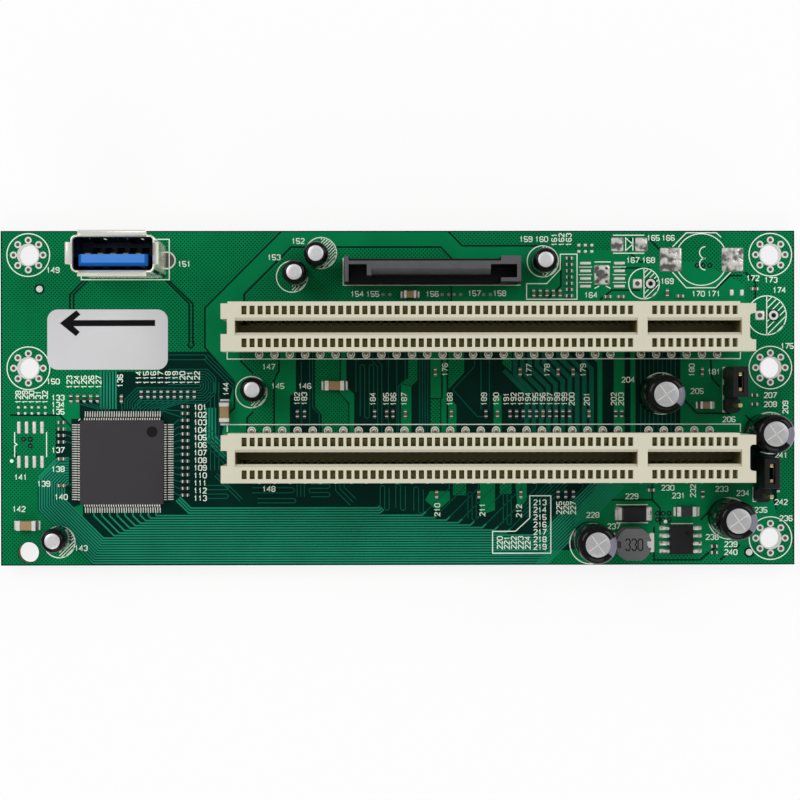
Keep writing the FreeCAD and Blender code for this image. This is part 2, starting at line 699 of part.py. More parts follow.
def make_regulator_leads():
    half = REGULATOR_WIDTH / 2
    tip = half + REGULATOR_LEAD_REACH
    knee = half + REGULATOR_LEAD_KNEE
    heel = half + REGULATOR_LEAD_HEEL
    middle = DECK + CHIP_STANDOFF + REGULATOR_THICKNESS / 2
    thick = REGULATOR_LEAD_THICKNESS
    leads = []
    for offset in row(REGULATOR_LEADS_PER_SIDE, REGULATOR_LEAD_PITCH):
        y0 = REGULATOR[1] + offset - REGULATOR_LEAD_WIDTH / 2
        for side in (-1, 1):
            profile = [(half, middle), (half, middle - thick), (knee - thick, middle - thick),
                       (heel - thick, DECK), (tip, DECK), (tip, DECK + thick), (heel, DECK + thick),
                       (knee, middle)]
            outline = [(REGULATOR[0] + side * reach, y0, z) for reach, z in profile]
            leads.append(prism(outline, (0, REGULATOR_LEAD_WIDTH, 0)))
    return leads


# Inductor and diode

def make_inductor():
    centre = Vector(INDUCTOR[0], INDUCTOR[1], 0)
    low = DECK + TERMINAL_THICKNESS
    top = DECK + INDUCTOR_HEIGHT
    rim = INDUCTOR_DIAMETER / 2
    hub = INDUCTOR_HUB / 2
    profile = [(0, low), (rim, low), (rim, low + INDUCTOR_FLANGE), (hub, low + INDUCTOR_FLANGE),
               (hub, top - INDUCTOR_FLANGE), (rim, top - INDUCTOR_FLANGE), (rim, top), (0, top)]
    core = spin(profile)
    notches = [block((side * rim, 0), 2 * INDUCTOR_NOTCH_DEPTH, INDUCTOR_NOTCH_WIDTH, low, top)
               for side in (-1, 1)]
    core = core.cut(Part.makeCompound(notches))
    core = core.common(block((0, 0), INDUCTOR_DIAMETER, INDUCTOR_WIDTH, low, top))
    inner = hub + WINDING_CLEARANCE
    outer = rim - WINDING_RECESS - INDUCTOR_NOTCH_DEPTH
    bottom = low + INDUCTOR_FLANGE
    ceiling = top - INDUCTOR_FLANGE - WINDING_CLEARANCE
    winding = spin([(inner, bottom), (outer, bottom), (outer, ceiling), (inner, ceiling)])
    reach = rim + TERMINAL_REACH - TERMINAL_LENGTH / 2
    terminals = [block((side * reach, 0), TERMINAL_LENGTH, TERMINAL_WIDTH, DECK, low) for side in (-1, 1)]
    save("inductor_core", core.translated(centre))
    save("inductor_winding", winding.translated(centre))
    save("inductor_terminals", [terminal.translated(centre) for terminal in terminals])


def spin(profile):
    corners = [Vector(radius, 0, z) for radius, z in profile]
    face = Part.Face(Part.makePolygon(corners + corners[:1]))
    return face.revolve(Vector(0, 0, 0), Vector(0, 0, 1), 360)


def make_diode_leads():
    """Each lead leaves the body at mid height and folds down to its pad."""
    half = DIODE_LENGTH / 2
    thick = DIODE_LEAD_THICKNESS
    tip = half + DIODE_LEAD_REACH
    middle = DECK + DIODE_HEIGHT / 2
    profile = [(half, middle), (tip, middle), (tip, DECK), (half - DIODE_LEAD_REACH, DECK),
               (half - DIODE_LEAD_REACH, DECK + thick), (tip - thick, DECK + thick),
               (tip - thick, middle - thick), (half, middle - thick)]
    leads = []
    for side in (-1, 1):
        outline = [(DIODE[0] + side * reach, DIODE[1] - DIODE_LEAD_WIDTH / 2, z) for reach, z in profile]
        leads.append(prism(outline, (0, DIODE_LEAD_WIDTH, 0)))
    return leads


# Electrolytic capacitors

def make_can(place, diameter, height):
    radius = diameter / 2
    can = spin([(0, DECK), (radius, DECK), (radius, DECK + height), (0, DECK + height)])
    return can.translated(Vector(place[0], place[1], 0))


def make_cans():
    for i, place in enumerate(SMALL_CANS):
        save("small_capacitor_%d" % (i + 1), make_can(place, SMALL_CAN_DIAMETER, SMALL_CAN_HEIGHT))
    for i, place in enumerate(LARGE_CANS):
        save("large_capacitor_%d" % (i + 1), make_can(place, LARGE_CAN_DIAMETER, LARGE_CAN_HEIGHT))


# Jumper headers

def make_header_base(header):
    pieces = []
    half = HEADER_WIDTH / 2
    for x, y in pin_places(header):
        run = HEADER_PITCH / 2
        corner = HEADER_CORNER
        outline = [(x - half, y - run + corner), (x - half + corner, y - run), (x + half - corner, y - run),
                   (x + half, y - run + corner), (x + half, y + run - corner), (x + half - corner, y + run),
                   (x - half + corner, y + run), (x - half, y + run - corner)]
        pieces.append(prism([(px, py, DECK) for px, py in outline], (0, 0, HEADER_HEIGHT)))
    pins = [block(place, PIN_SIZE, PIN_SIZE, DECK, DECK + HEADER_HEIGHT) for place in pin_places(header)]
    return join(pieces).cut(Part.makeCompound(pins))


def make_header_pins(header):
    return [block(place, PIN_SIZE, PIN_SIZE, DECK, DECK + PIN_TOP) for place in pin_places(header)]


def jumper_centre(header):
    first, second = pin_places(header)[:2]
    return (first[0], (first[1] + second[1]) / 2)


def make_jumper(header):
    """The push-on cap: hollow below, with a window in its roof."""
    centre = jumper_centre(header)
    low = DECK + HEADER_HEIGHT
    top = low + JUMPER_HEIGHT
    length = 2 * HEADER_PITCH - JUMPER_CLEARANCE
    roof = DECK + PIN_TOP - JUMPER_WALL
    body = block(centre, HEADER_WIDTH, length, low, top)
    hollow = block(centre, HEADER_WIDTH - 2 * JUMPER_WALL, length - 2 * JUMPER_WALL, low, roof)
    window = block(centre, JUMPER_WINDOW, HEADER_PITCH + PIN_SIZE + JUMPER_CLEARANCE, roof, top)
    return body.cut(Part.makeCompound([hollow, window]))


def make_clip(header):
    """A folded spring that grips both pins and joins them."""
    x, y = jumper_centre(header)
    near = PIN_SIZE / 2 + CLIP_GAP
    far = near + CLIP_THICKNESS
    low = DECK + HEADER_HEIGHT
    high = DECK + PIN_TOP - JUMPER_WALL
    run = HEADER_PITCH + PIN_SIZE
    arms = [box(x - far, x - near, y - run / 2, y + run / 2, low, high),
            box(x + near, x + far, y - run / 2, y + run / 2, low, high)]
    web_run = HEADER_PITCH - PIN_SIZE - 2 * CLIP_GAP
    web = box(x - near, x + near, y - web_run / 2, y + web_run / 2, low, low + CLIP_THICKNESS)
    return join(arms + [web])


# Chip parts

def chip_part(place, size, along_x):
    length, width, height = size
    if not along_x:
        length, width = width, length
    return block(place, length, width, DECK, DECK + height)


def chip_row(start, step, count, along_x):
    return [chip_part((start[0] + i * step[0], start[1] + i * step[1]), TINY_CHIP, along_x)
            for i in range(count)]


def make_chip_parts():
    for name, rows in (("chip_resistors", RESISTOR_ROWS), ("chip_capacitors", CAPACITOR_ROWS)):
        save(name, [part for one in rows for part in chip_row(*one)])
    for name, (place, size, along_x) in LARGE_CHIPS.items():
        save(name, chip_part(place, size, along_x))


def make_label():
    """A thin sheet with round corners on the free field beside the slots."""
    centre = (LEFT + LABEL_LEFT_INSET, LABEL_RISE)
    label = block(centre, LABEL_LENGTH, LABEL_WIDTH, DECK, DECK + LABEL_THICKNESS)
    corners = [edge for edge in label.Edges if edge.Length < 2 * LABEL_THICKNESS]
    return label.makeFillet(LABEL_CORNER, corners)


def main():
    os.makedirs("parts", exist_ok=True)
    save("circuit_board", make_board())
    make_slots()
    save("data_socket_shell", make_socket_shell())
    save("data_socket_insulator", make_insulator())
    save("data_socket_contacts", make_socket_contacts())
    save("power_plug_housing", make_plug_housing())
    save("power_plug_contacts", make_plug_contacts())
    chip_low = DECK + CHIP_STANDOFF
    save("bridge_chip_body", drafted_block(CHIP, CHIP_SIZE, CHIP_SIZE, chip_low,
                                           chip_low + CHIP_THICKNESS, CHIP_EDGE_DRAFT))
    save("bridge_chip_leads", make_chip_leads())
    save("regulator_body", drafted_block(REGULATOR, REGULATOR_WIDTH, REGULATOR_LENGTH, chip_low,
                                         chip_low + REGULATOR_THICKNESS, CHIP_EDGE_DRAFT))
    save("regulator_leads", make_regulator_leads())
    make_inductor()
    save("diode_body", drafted_block(DIODE, DIODE_LENGTH, DIODE_WIDTH, DECK + DIODE_LEAD_THICKNESS,
                                     DECK + DIODE_HEIGHT, DIODE_DRAFT))
    save("diode_leads", make_diode_leads())
    make_cans()
    for header in HEADERS:
        save(header + "_header_base", make_header_base(header))
        save(header + "_header_pins", make_header_pins(header))
        save(header + "_jumper_cap", make_jumper(header))
        save(header + "_jumper_clip", make_clip(header))
    make_chip_parts()
    pin_tails = [place for header in HEADERS for place in pin_places(header)]
    save("lead_solder_joints", solder_joints(can_lead_places() + pin_tails + socket_tail_places()
                                             + plug_tail_places()))
    save("arrow_label", make_label())


main()
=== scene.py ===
import math
from collections import namedtuple

import bmesh
import bpy
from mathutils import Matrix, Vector
from mathutils.geometry import delaunay_2d_cdt


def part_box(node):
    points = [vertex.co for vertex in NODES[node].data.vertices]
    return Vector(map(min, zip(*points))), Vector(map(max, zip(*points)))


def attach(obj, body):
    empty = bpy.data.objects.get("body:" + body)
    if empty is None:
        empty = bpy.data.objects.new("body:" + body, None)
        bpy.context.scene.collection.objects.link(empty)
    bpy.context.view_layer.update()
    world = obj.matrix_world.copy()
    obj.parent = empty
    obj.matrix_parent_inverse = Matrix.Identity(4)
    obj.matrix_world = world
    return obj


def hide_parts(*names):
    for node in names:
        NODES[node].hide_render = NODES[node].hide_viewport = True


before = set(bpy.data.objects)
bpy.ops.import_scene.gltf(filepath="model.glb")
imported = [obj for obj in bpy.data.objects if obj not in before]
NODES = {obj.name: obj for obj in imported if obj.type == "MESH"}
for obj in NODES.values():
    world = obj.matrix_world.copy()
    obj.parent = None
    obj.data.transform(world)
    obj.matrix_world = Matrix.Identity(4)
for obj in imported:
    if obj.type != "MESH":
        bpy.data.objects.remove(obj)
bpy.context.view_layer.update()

bl_info = {
    "name": "Adapter Card Looks",
    "version": (1, 0, 0),
    "blender": (4, 5, 0),
    "location": "3D View > Sidebar > Card",
    "description": "Builds the visible pieces and finishes of an adapter card round its fixed frame",
    "category": "Object",
}

MM = 0.001
MICRONS = 1000
BODY = "root"
TWINS = ("upper", "lower")


# Measures taken from the frame, in millimetres

def corners(node):
    """Lowest and highest corner of a frame node."""
    low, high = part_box(node)
    return [c / MM for c in low], [c / MM for c in high]


def centre(low, high):
    return [(a + b) / 2 for a, b in zip(low, high)]


def extent(low, high):
    return [b - a for a, b in zip(low, high)]


def middle(node):
    return centre(*corners(node))


def solids(node):
    """Corners of each separate solid of a frame node, from left to right."""
    mesh = NODES[node].data
    keys = [tuple(round(c / MM * MICRONS) for c in vertex.co) for vertex in mesh.vertices]
    owner = {key: key for key in keys}

    def root(key):
        while owner[key] != key:
            key = owner[key]
        return key

    for polygon in mesh.polygons:
        first = root(keys[polygon.vertices[0]])
        for index in polygon.vertices:
            owner[root(keys[index])] = first
    groups = {}
    for key in owner:
        groups.setdefault(root(key), []).append(key)
    boxes = []
    for group in groups.values():
        axes = list(zip(*group))
        boxes.append(([min(axis) / MICRONS for axis in axes], [max(axis) / MICRONS for axis in axes]))
    return sorted(boxes)


def nodes_named(*starts):
    return [node for node in sorted(NODES) if node.startswith(starts)]


UNDERSIDE = corners("circuit_board")[0][2]
DECK = corners("circuit_board")[1][2]


# Shader expressions

class Amount:
    """A socket that carries a value: arithmetic on it adds Math nodes."""

    def __init__(self, finish, socket):
        self.finish = finish
        self.socket = socket

    def math(self, operation, *values):
        return self.finish.node("ShaderNodeMath", {"operation": operation}, dict(enumerate(values)))

    def __add__(self, other):
        return self.math("ADD", self, other)

    __radd__ = __add__

    def __sub__(self, other):
        return self.math("SUBTRACT", self, other)

    def __rsub__(self, other):
        return self.math("SUBTRACT", other, self)

    def __mul__(self, other):
        return self.math("MULTIPLY", self, other)

    def __truediv__(self, other):
        return self.math("DIVIDE", self, other)

    def __mod__(self, other):
        return self.math("FLOORED_MODULO", self, other)

    def __abs__(self):
        return self.math("ABSOLUTE", self)

    def __lt__(self, other):
        return self.math("LESS_THAN", self, other)

    def at_least(self, other):
        return self.math("MAXIMUM", self, other)

    def turn(self, other):
        """Angle of the point whose two places are other and this amount."""
        return self.math("ARCTAN2", self, other)


class Finish:
    """A material whose nodes are added by expressions. Lengths are in millimetres."""

    def __init__(self, name):
        self.material = bpy.data.materials.new(name)
        self.material.use_nodes = True
        self.tree = self.material.node_tree
        self.tree.nodes.clear()
        self.place = self.node("ShaderNodeTexCoord", output="Object")

    def node(self, kind, settings=None, inputs=None, output=0):
        """Adds a node with its settings and sockets. Returns one output, or a list of those named."""
        made = self.tree.nodes.new(kind)
        for key, value in (settings or {}).items():
            setattr(made, key, value)
        for key, value in (inputs or {}).items():
            socket = made.inputs[key]
            if isinstance(value, Amount):
                self.tree.links.new(value.socket, socket)
            elif socket.type == "RGBA":
                socket.default_value = (*value[:3], 1)
            else:
                socket.default_value = value
        if isinstance(output, tuple):
            return [Amount(self, made.outputs[name]) for name in output]
        return Amount(self, made.outputs[output]) if len(made.outputs) else None

    def noise(self, size, detail=2, place=None):
        return self.node("ShaderNodeTexNoise", {},
                         {"Vector": place or self.place, "Scale": 1 / (size * MM), "Detail": detail}, "Fac")

    def axes(self, source=None):
        """X, Y and Z of the piece's own coordinates, or of another source without a unit."""
        split = self.node("ShaderNodeSeparateXYZ", {}, {0: source or self.place}, ("X", "Y", "Z"))
        scale = 1 if source else 1 / MM
        return [axis * scale for axis in split]

    def facing(self):
        """How level the surface lies: 1 on tops and undersides, 0 on upright sides."""
        normal = self.node("ShaderNodeNewGeometry", output="Normal")
        return abs(self.axes(normal)[2])

    def step(self, value, low, high):
        """0 below low, 1 above high, with a soft step between."""
        return self.node("ShaderNodeMapRange", {"interpolation_type": "SMOOTHSTEP"},
                         {0: value, 1: low, 2: high}, "Result")

    def mix(self, share, first, second):
        return self.node("ShaderNodeMix", {"data_type": "RGBA"}, {0: share, 6: first, 7: second}, 2)

    def surface(self, colour, rough, metal=0.0, specular=0.5, height=None, bump=(0.02, 0.5)):
        """The closing shader. The height, if any, is a bump of that depth and strength."""
        values = {"Base Color": colour, "Roughness": rough, "Metallic": metal, "Specular IOR Level": specular}
        if height is not None:
            depth, strength = bump
            values["Normal"] = self.node("ShaderNodeBump", {}, {
                "Strength": strength, "Distance": depth * MM, "Height": height}, "Normal")
        shader = self.node("ShaderNodeBsdfPrincipled", {}, values, "BSDF")
        self.node("ShaderNodeOutputMaterial", {}, {"Surface": shader})
        return self.material

    def plain(self, colours, drift, rough, grain=None, bump=None, **inputs):
        """An even coat between two colours. Drift and grain are noises, given as size and detail.

        The drift moves the colour. The grain, or else the drift, adds to the roughness and makes the bump."""
        patches = self.noise(*drift)
        marks = self.noise(*grain) if grain else patches
        if bump:
            inputs.update(height=marks, bump=bump)
        least, added = rough
        return self.surface(self.mix(patches, *colours), least + marks * added, **inputs)


def scaled(colour, share):
    return tuple(min(1.0, c * share) for c in colour[:3])


def tones(colour, darker, lighter):
    return scaled(colour, darker), scaled(colour, lighter)


# Mesh building

HOLE_SIDES = 32
SHEET_WELD = 1e-4
THINNEST = 1e-4
SHARPEST_MITRE = 0.45
EDGE_ANGLE = 40
FLAT_ANGLE = 1
CAD_WELD = 0.001


def circle(place, radius, count, z=None, start=0.0):
    points = []
    for i in range(count):
        angle = start + 2 * math.pi * i / count
        point = (place[0] + radius * math.cos(angle), place[1] + radius * math.sin(angle))
        points.append(point if z is None else (*point, z))
    return points


def rectangle(x0, x1, y0, y1):
    return [(x0, y0), (x1, y0), (x1, y1), (x0, y1)]


def round_rectangle(x0, x1, y0, y1, radius, steps):
    points = []
    for cx, cy, first in ((x1 - radius, y0 + radius, -90), (x1 - radius, y1 - radius, 0),
                          (x0 + radius, y1 - radius, 90), (x0 + radius, y0 + radius, 180)):
        for i in range(steps + 1):
            angle = math.radians(first + 90 * i / steps)
            points.append((cx + radius * math.cos(angle), cy + radius * math.sin(angle)))
    return points


def counter_clockwise(outline):
    area = sum(x0 * y1 - x1 * y0 for (x0, y0), (x1, y1) in zip(outline, outline[1:] + outline[:1]))
    return outline if area > 0 else outline[::-1]


def raised(outline, z):
    return [(x, y, z) for x, y in outline]


def heading(start, end):
    return Vector((end[0] - start[0], end[1] - start[1])).normalized()


def mitres(path, closed=False):
    """For each point of a path, the step that moves it one millimetre to the left of the path."""
    steps = []
    count = len(path)
    for i, point in enumerate(path):
        into = heading(path[i - 1], point) if closed or i else None
        out = heading(point, path[(i + 1) % count]) if closed or i < count - 1 else None
        into, out = into or out, out or into
        side = Vector((-into.y - out.y, into.x + out.x)).normalized()
        lean = max(SHARPEST_MITRE, side.dot(Vector((-into.y, into.x))))
        steps.append(side / lean)
    return steps


def beside(path, distance):
    """The path that runs that far to the left of another one."""
    return [(x + side.x * distance, y + side.y * distance) for (x, y), side in zip(path, mitres(path))]


class Shape:
    """Closed solids, in millimetres, gathered into one mesh piece. Each face knows the name of its finish."""

    def __init__(self, coat):
        self.coat = coat
        self.points = []
        self.faces = []
        self.coats = []

    def add(self, faces, coat):
        self.faces += faces
        self.coats += [coat or self.coat] * len(faces)

    def loft(self, rings, coat=None, closed=False):
        """Skins rings of equal count one after the other, and caps both ends unless the run is closed."""
        count = len(rings[0])
        runs = len(rings)
        start = len(self.points)
        for ring in rings:
            self.points.extend(ring)

        def at(i, j):
            return start + (i % runs) * count + j % count

        made = []
        for i in range(runs if closed else runs - 1):
            made += [(at(i, j), at(i, j + 1), at(i + 1, j + 1), at(i + 1, j)) for j in range(count)]
        if not closed:
            made += [tuple(at(0, j) for j in reversed(range(count))),
                     tuple(at(runs - 1, j) for j in range(count))]
        self.add(made, coat)

    def prism(self, outline, low, high, coat=None):
        self.loft([raised(outline, low), raised(outline, high)], coat)

    def disc(self, place, radius, count, low, high, coat=None):
        self.prism(circle(place, radius, count), low, high, coat)

    def box(self, low, high, coat=None):
        self.prism(rectangle(low[0], high[0], low[1], high[1]), low[2], high[2], coat)

    def lathe(self, profile, place=(0, 0), count=48, coat=None):
        """Turns a profile of (radius, height) pairs about an upright axis."""
        self.loft([circle(place, max(radius, THINNEST), count, z) for radius, z in profile], coat)

    def ring(self, place, outer, inner, count, low, high, coat=None):
        profile = [(inner, low), (outer, low), (outer, high), (inner, high)]
        self.loft([circle(place, radius, count, z) for radius, z in profile], coat, True)

    def ribbon(self, path, width, low, high, coat=None, closed=False):
        """A flat line of even width along a path, with mitred corners."""
        rings = []
        for (x, y), side in zip(path, mitres(path, closed)):
            dx, dy = side * (width / 2)
            rings.append([(x - dx, y - dy, low), (x - dx, y - dy, high),
                          (x + dx, y + dy, high), (x + dx, y + dy, low)])
        self.loft(rings, coat, closed)

    def sheet(self, outline, holes, low, high, coat=None):
        """A flat sheet of any outline, with round holes given as (place, radius)."""
        loops = [counter_clockwise(outline)] + [circle(place, radius, HOLE_SIDES) for place, radius in holes]
        flat, indices = [], []
        for loop in loops:
            indices.append(list(range(len(flat), len(flat) + len(loop))))
            flat += [Vector(point) for point in loop]
        flat, _, triangles, _, _, origins = delaunay_2d_cdt(flat, [], indices, 1, SHEET_WELD)
        kept = [tuple(triangle) for triangle, origin in zip(triangles, origins) if origin == [0]]
        start, count = len(self.points), len(flat)
        self.points += [(x, y, z) for z in (low, high) for x, y in flat]
        runs = {(t[i], t[i - 2]) for t in kept for i in range(3)}
        made = [tuple(start + count + i for i in t) for t in kept]
        made += [tuple(start + i for i in reversed(t)) for t in kept]
        made += [(start + a, start + b, start + count + b, start + count + a)
                 for a, b in sorted(runs) if (b, a) not in runs]
        self.add(made, coat)

    def piece(self, name, place=(0, 0, 0), replaces=None, edge=0.0, sharp=35):
        mesh = bpy.data.meshes.new(name)
        mesh.from_pydata([[c * MM for c in point] for point in self.points], [], self.faces)
        coats = list(dict.fromkeys(self.coats))
        for coat in coats:
            mesh.materials.append(finish(coat))
        mesh.polygons.foreach_set("material_index", [coats.index(coat) for coat in self.coats])
        work = bmesh.new()
        work.from_mesh(mesh)
        bmesh.ops.recalc_face_normals(work, faces=work.faces)
        work.to_mesh(mesh)
        work.free()
        mesh.shade_smooth()
        mesh.set_sharp_from_angle(angle=math.radians(sharp))
        made = bpy.data.objects.new(name, mesh)
        made.location = [c * MM for c in place]
        bpy.context.scene.collection.objects.link(made)
        if edge:
            soften(made, edge)
        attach(made, BODY)
        if replaces:
            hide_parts(replaces)
        return made


def soften(made, width):
    """Rounds the sharp edges of a piece by a small width."""
    bevel = made.modifiers.new("edges", "BEVEL")
    bevel.width = width * MM
    bevel.segments = 2
    bevel.limit_method = "ANGLE"
    bevel.angle_limit = math.radians(EDGE_ANGLE)
    bevel.harden_normals = False


def dress(node, coat, edge=0.0):
    """Gives a frame node that keeps its own mesh a finish, and softens its edges."""
    made = NODES[node]
    made.data.materials.clear()
    made.data.materials.append(finish(coat))
    if edge:
        weld = made.modifiers.new("weld", "WELD")
        weld.merge_threshold = CAD_WELD * MM
        flat = made.modifiers.new("flat", "DECIMATE")
        flat.decimate_type = "DISSOLVE"
        flat.angle_limit = math.radians(FLAT_ANGLE)
        soften(made, edge)


# Settings that a user would change

def colour(name, description, default):
    return bpy.props.FloatVectorProperty(name=name, description=description, default=default,
                                         size=3, min=0.0, max=1.0, subtype="COLOR")


def length(name, description, millimetres):
    return bpy.props.FloatProperty(name=name, description=description, default=millimetres * MM,
                                   min=0.0, unit="LENGTH", subtype="DISTANCE", precision=5)


def measure(name, description, default, unit="NONE", least=0.0):
    return bpy.props.FloatProperty(name=name, description=description, default=default, min=least, unit=unit)


class BoardLook(bpy.types.PropertyGroup):
    bare: colour("Bare mask", "Solder mask over plain laminate", (0.0004, 0.021, 0.0145))
    pour: colour("Copper mask", "Solder mask over a solid copper area", (0.0006, 0.2, 0.066))
    hatch: colour("Hatch openings", "Solder mask in the openings of hatched copper", (0.0004, 0.05, 0.017))
    track: colour("Track mask", "Solder mask over narrow tracks", (0.011, 0.235, 0.13))
    thin: colour("Thin track mask", "Solder mask over single thin tracks", (0.004, 0.11, 0.07))
    print: colour("Print", "Screen-printed lines and numbers", (0.90, 1.0, 0.88))
    laminate: colour("Laminate", "Cut edge of the board", (0.36, 0.33, 0.12))
    tin: colour("Tin", "Solder and tinned pads", (0.82, 0.81, 0.76))
    hatch_pitch: length("Hatch pitch", "Distance between the openings of a hatched copper area", 0.46)
    copper_rise: length("Copper rise", "Height of coated copper above the laminate", 0.03)
    print_rise: length("Print rise", "Height of the print above the laminate", 0.05)


class PartLook(bpy.types.PropertyGroup):
    slot_plastic: colour("Slot plastic", "Moulded plastic of the card slots", (0.635, 0.61, 0.48))
    # Painted shade: the cream plastic darkened down inside the card gaps.
    slot_shade: colour("Slot shade", "The same plastic down inside the card gaps", (0.25, 0.21, 0.08))
    contact: colour("Contact", "Plated contacts", (0.64, 0.53, 0.26))
    # Springs partly dull metal, partly painted shade: a darker copy of the contact metal inside the windows.
    spring: colour("Spring", "Dull springs inside the card slots", (0.26, 0.22, 0.05))
    black_plastic: colour("Black plastic", "Headers and jumper caps", (0.011, 0.011, 0.012))
    # Painted light: the lighter grey of the level faces near the plug's top.
    plug_plastic: colour("Plug plastic", "Worn faces of the power plug", (0.096, 0.096, 0.107))
    blue_plastic: colour("Blue plastic", "Insulator of the data socket", (0.055, 0.22, 0.66))
    # Painted shade: a darker blue for the slanted edges of the insulator.
    blue_edge: colour("Blue edge", "Slanted edges of the insulator", (0.006, 0.125, 0.5))
    shell: colour("Shell", "Plated steel of the data socket", (0.95, 0.93, 0.83))
    epoxy: colour("Epoxy", "Moulded bodies of the chips", (0.029, 0.026, 0.03))
    sleeve: colour("Sleeve", "Shrunk sleeve of the capacitors", (0.003, 0.003, 0.004))
    stripe: colour("Sleeve stripe", "Band on the sleeve of the large capacitors", (0.2, 0.2, 0.25))
    aluminium: colour("Aluminium", "Tops of the capacitor cans", (0.80, 0.79, 0.80))
    ceramic: colour("Ceramic", "Bodies of the chip capacitors", (0.36, 0.23, 0.115))
    ferrite: colour("Ferrite", "Core of the inductor", (0.105, 0.106, 0.11))
    paper: colour("Paper", "Face of the label", (0.64, 0.635, 0.65))
    ink: colour("Ink", "Arrow on the label", (0.002, 0.002, 0.003))
    edge: length("Edge", "Rounding of moulded edges", 0.07)


class StageLook(bpy.types.PropertyGroup):
    floor: colour("Floor", "Colour of the floor", (0.92, 0.92, 0.92))
    sky: measure("Sky", "Strength of the even light all round", 0.5)
    lamp: measure("Lamps", "Power of each soft lamp", 2.4, "POWER")
    focal: measure("Focal length", "Focal length of the camera, in millimetres", 78.65, "CAMERA", 1.0)


def board_look():
    return bpy.context.scene.card_board


def part_look():
    return bpy.context.scene.card_parts


# Finishes

MASK_SPECULAR = 0.04
PLY = 0.2
WIRE = 0.22
# Crest and groove of each wire turn; the darker groove colour is painted shade.
WIRE_AND_GROOVE_SHADE_COLOURS = ((0.38, 0.12, 0.04), (0.16, 0.04, 0.014))
FILM_COLOURS = ((0.012, 0.012, 0.014), (0.03, 0.03, 0.032))
PAINT_COLOURS = ((0.006, 0.006, 0.007), (0.012, 0.012, 0.013))
STRIPE_TURN = 0.13
# Reach of the painted shade on the shell's walls inside the mouth.
SHELL_SHADE_REACH = 0.25
STRETCH = 6
RECIPES = {}
MADE = {}


def recipe(make):
    """Lists a function as the maker of the finish that has its name."""
    RECIPES[make.__name__] = make
    return make


def finish(name):
    """The material of that name, made when it is first asked for."""
    if name not in MADE:
        MADE[name] = RECIPES[name](Finish(name))
    return MADE[name]


@recipe
def bare_mask(f):
    """Coat over plain laminate, and the plies of glass cloth on the cut edge."""
    look = board_look()
    level = f.step(f.facing(), 0.3, 0.6)
    top = f.mix(f.noise(7, 3), *tones(look.bare, 0.7, 1.35))
    plies = f.step(abs((f.axes()[2] / PLY) % 1 - 0.5) + f.noise(0.3) * 0.25, 0.3, 0.45)
    cut = f.mix(plies, *tones(look.laminate, 0.65, 1))
    return f.surface(f.mix(level, cut, top), 0.75 - level * 0.42, specular=MASK_SPECULAR,
                     height=f.noise(0.35, 3), bump=(0.01, 0.3))


@recipe
def pour_mask(f):
    return f.plain(tones(board_look().pour, 0.72, 1.28), drift=(9, 3), rough=(0.3, 0.12), grain=(0.25, 2),
                   bump=(0.008, 0.3), specular=MASK_SPECULAR)


@recipe
def hatch_mask(f):
    """Copper with square openings that stand on their corners."""
    look = board_look()
    x, y, _ = f.axes()
    pitch = look.hatch_pitch / MM * math.sqrt(2)
    across = abs(((x + y) / pitch) % 1 - 0.5)
    along = abs(((x - y) / pitch) % 1 - 0.5)
    opening = 1 - f.step(across.at_least(along) + (f.noise(0.2) - 0.5) * 0.08, 0.2, 0.3)
    copper = f.mix(f.noise(9, 3), *tones(look.pour, 0.72, 1.25))
    return f.surface(f.mix(opening, copper, look.hatch), 0.32 + opening * 0.1, specular=MASK_SPECULAR,
                     height=1 - opening, bump=(0.03, 0.6))


@recipe
def track_mask(f):
    return f.plain(tones(board_look().track, 0.75, 1.25), drift=(6, 3), rough=(0.3, 0.1), grain=(0.3,),
                   specular=0.06)


@recipe
def thin_track_mask(f):
    return f.plain(tones(board_look().thin, 0.7, 1.3), drift=(4, 3), rough=(0.35, 0.1), grain=(0.3,),
                   specular=MASK_SPECULAR)


@recipe
def gap_mask(f):
    return f.plain(tones(board_look().bare, 0.6, 1.2), drift=(5,), rough=(0.4, 0.1), grain=(0.3,),
                   specular=MASK_SPECULAR)


@recipe
def screen_print(f):
    wear = f.step(f.noise(0.12, 3), 0.35, 0.55)
    return f.surface(f.mix(wear, *tones(board_look().print, 0.9, 1.0)), 0.6 + wear * 0.1, specular=0.2,
                     height=f.noise(0.06), bump=(0.006, 0.4))


@recipe
def tinned(f):
    return f.plain(tones(board_look().tin, 0.8, 1.15), drift=(0.5, 3), rough=(0.2, 0.22), bump=(0.06, 0.5),
                   metal=0.4)


@recipe
def reflowed(f):
    """Lumpy solder on open pads: pale crowns as painted highlights, and dark hollows as painted shade."""
    lumps = f.noise(1.2, 3)
    crown = f.step(lumps, 0.38, 0.58)
    return f.surface(f.mix(crown, *tones(board_look().tin, 0.15, 0.95)), 0.4 - crown * 0.15, metal=0.5,
                     height=lumps, bump=(0.3, 0.8))


@recipe
def dull_solder(f):
    """Thin solder between a small part and its pad, a darker copy of the tin: painted shade."""
    return f.plain(tones(board_look().tin, 0.12, 0.45), drift=(0.3, 2), rough=(0.3, 0.2), bump=(0.08, 0.6),
                   metal=0.8)


@recipe
def frosted_tin(f):
    """Pale frosted solder with painted light: a brighter copy of the tin that stays light in the shade of the
    slots.
    """
    return f.plain(tones(board_look().tin, 1.0, 1.2), drift=(0.4, 3), rough=(0.3, 0.2), bump=(0.06, 0.5),
                   metal=0.1)


# Near-black metal as painted shade: in holes, gap openings, lead slopes and jumper clips.
@recipe
def drilled(f):
    return f.plain(tones(board_look().tin, 0.06, 0.16), drift=(0.4,), rough=(0.45, 0.15), grain=(0.2,),
                   metal=0.6)


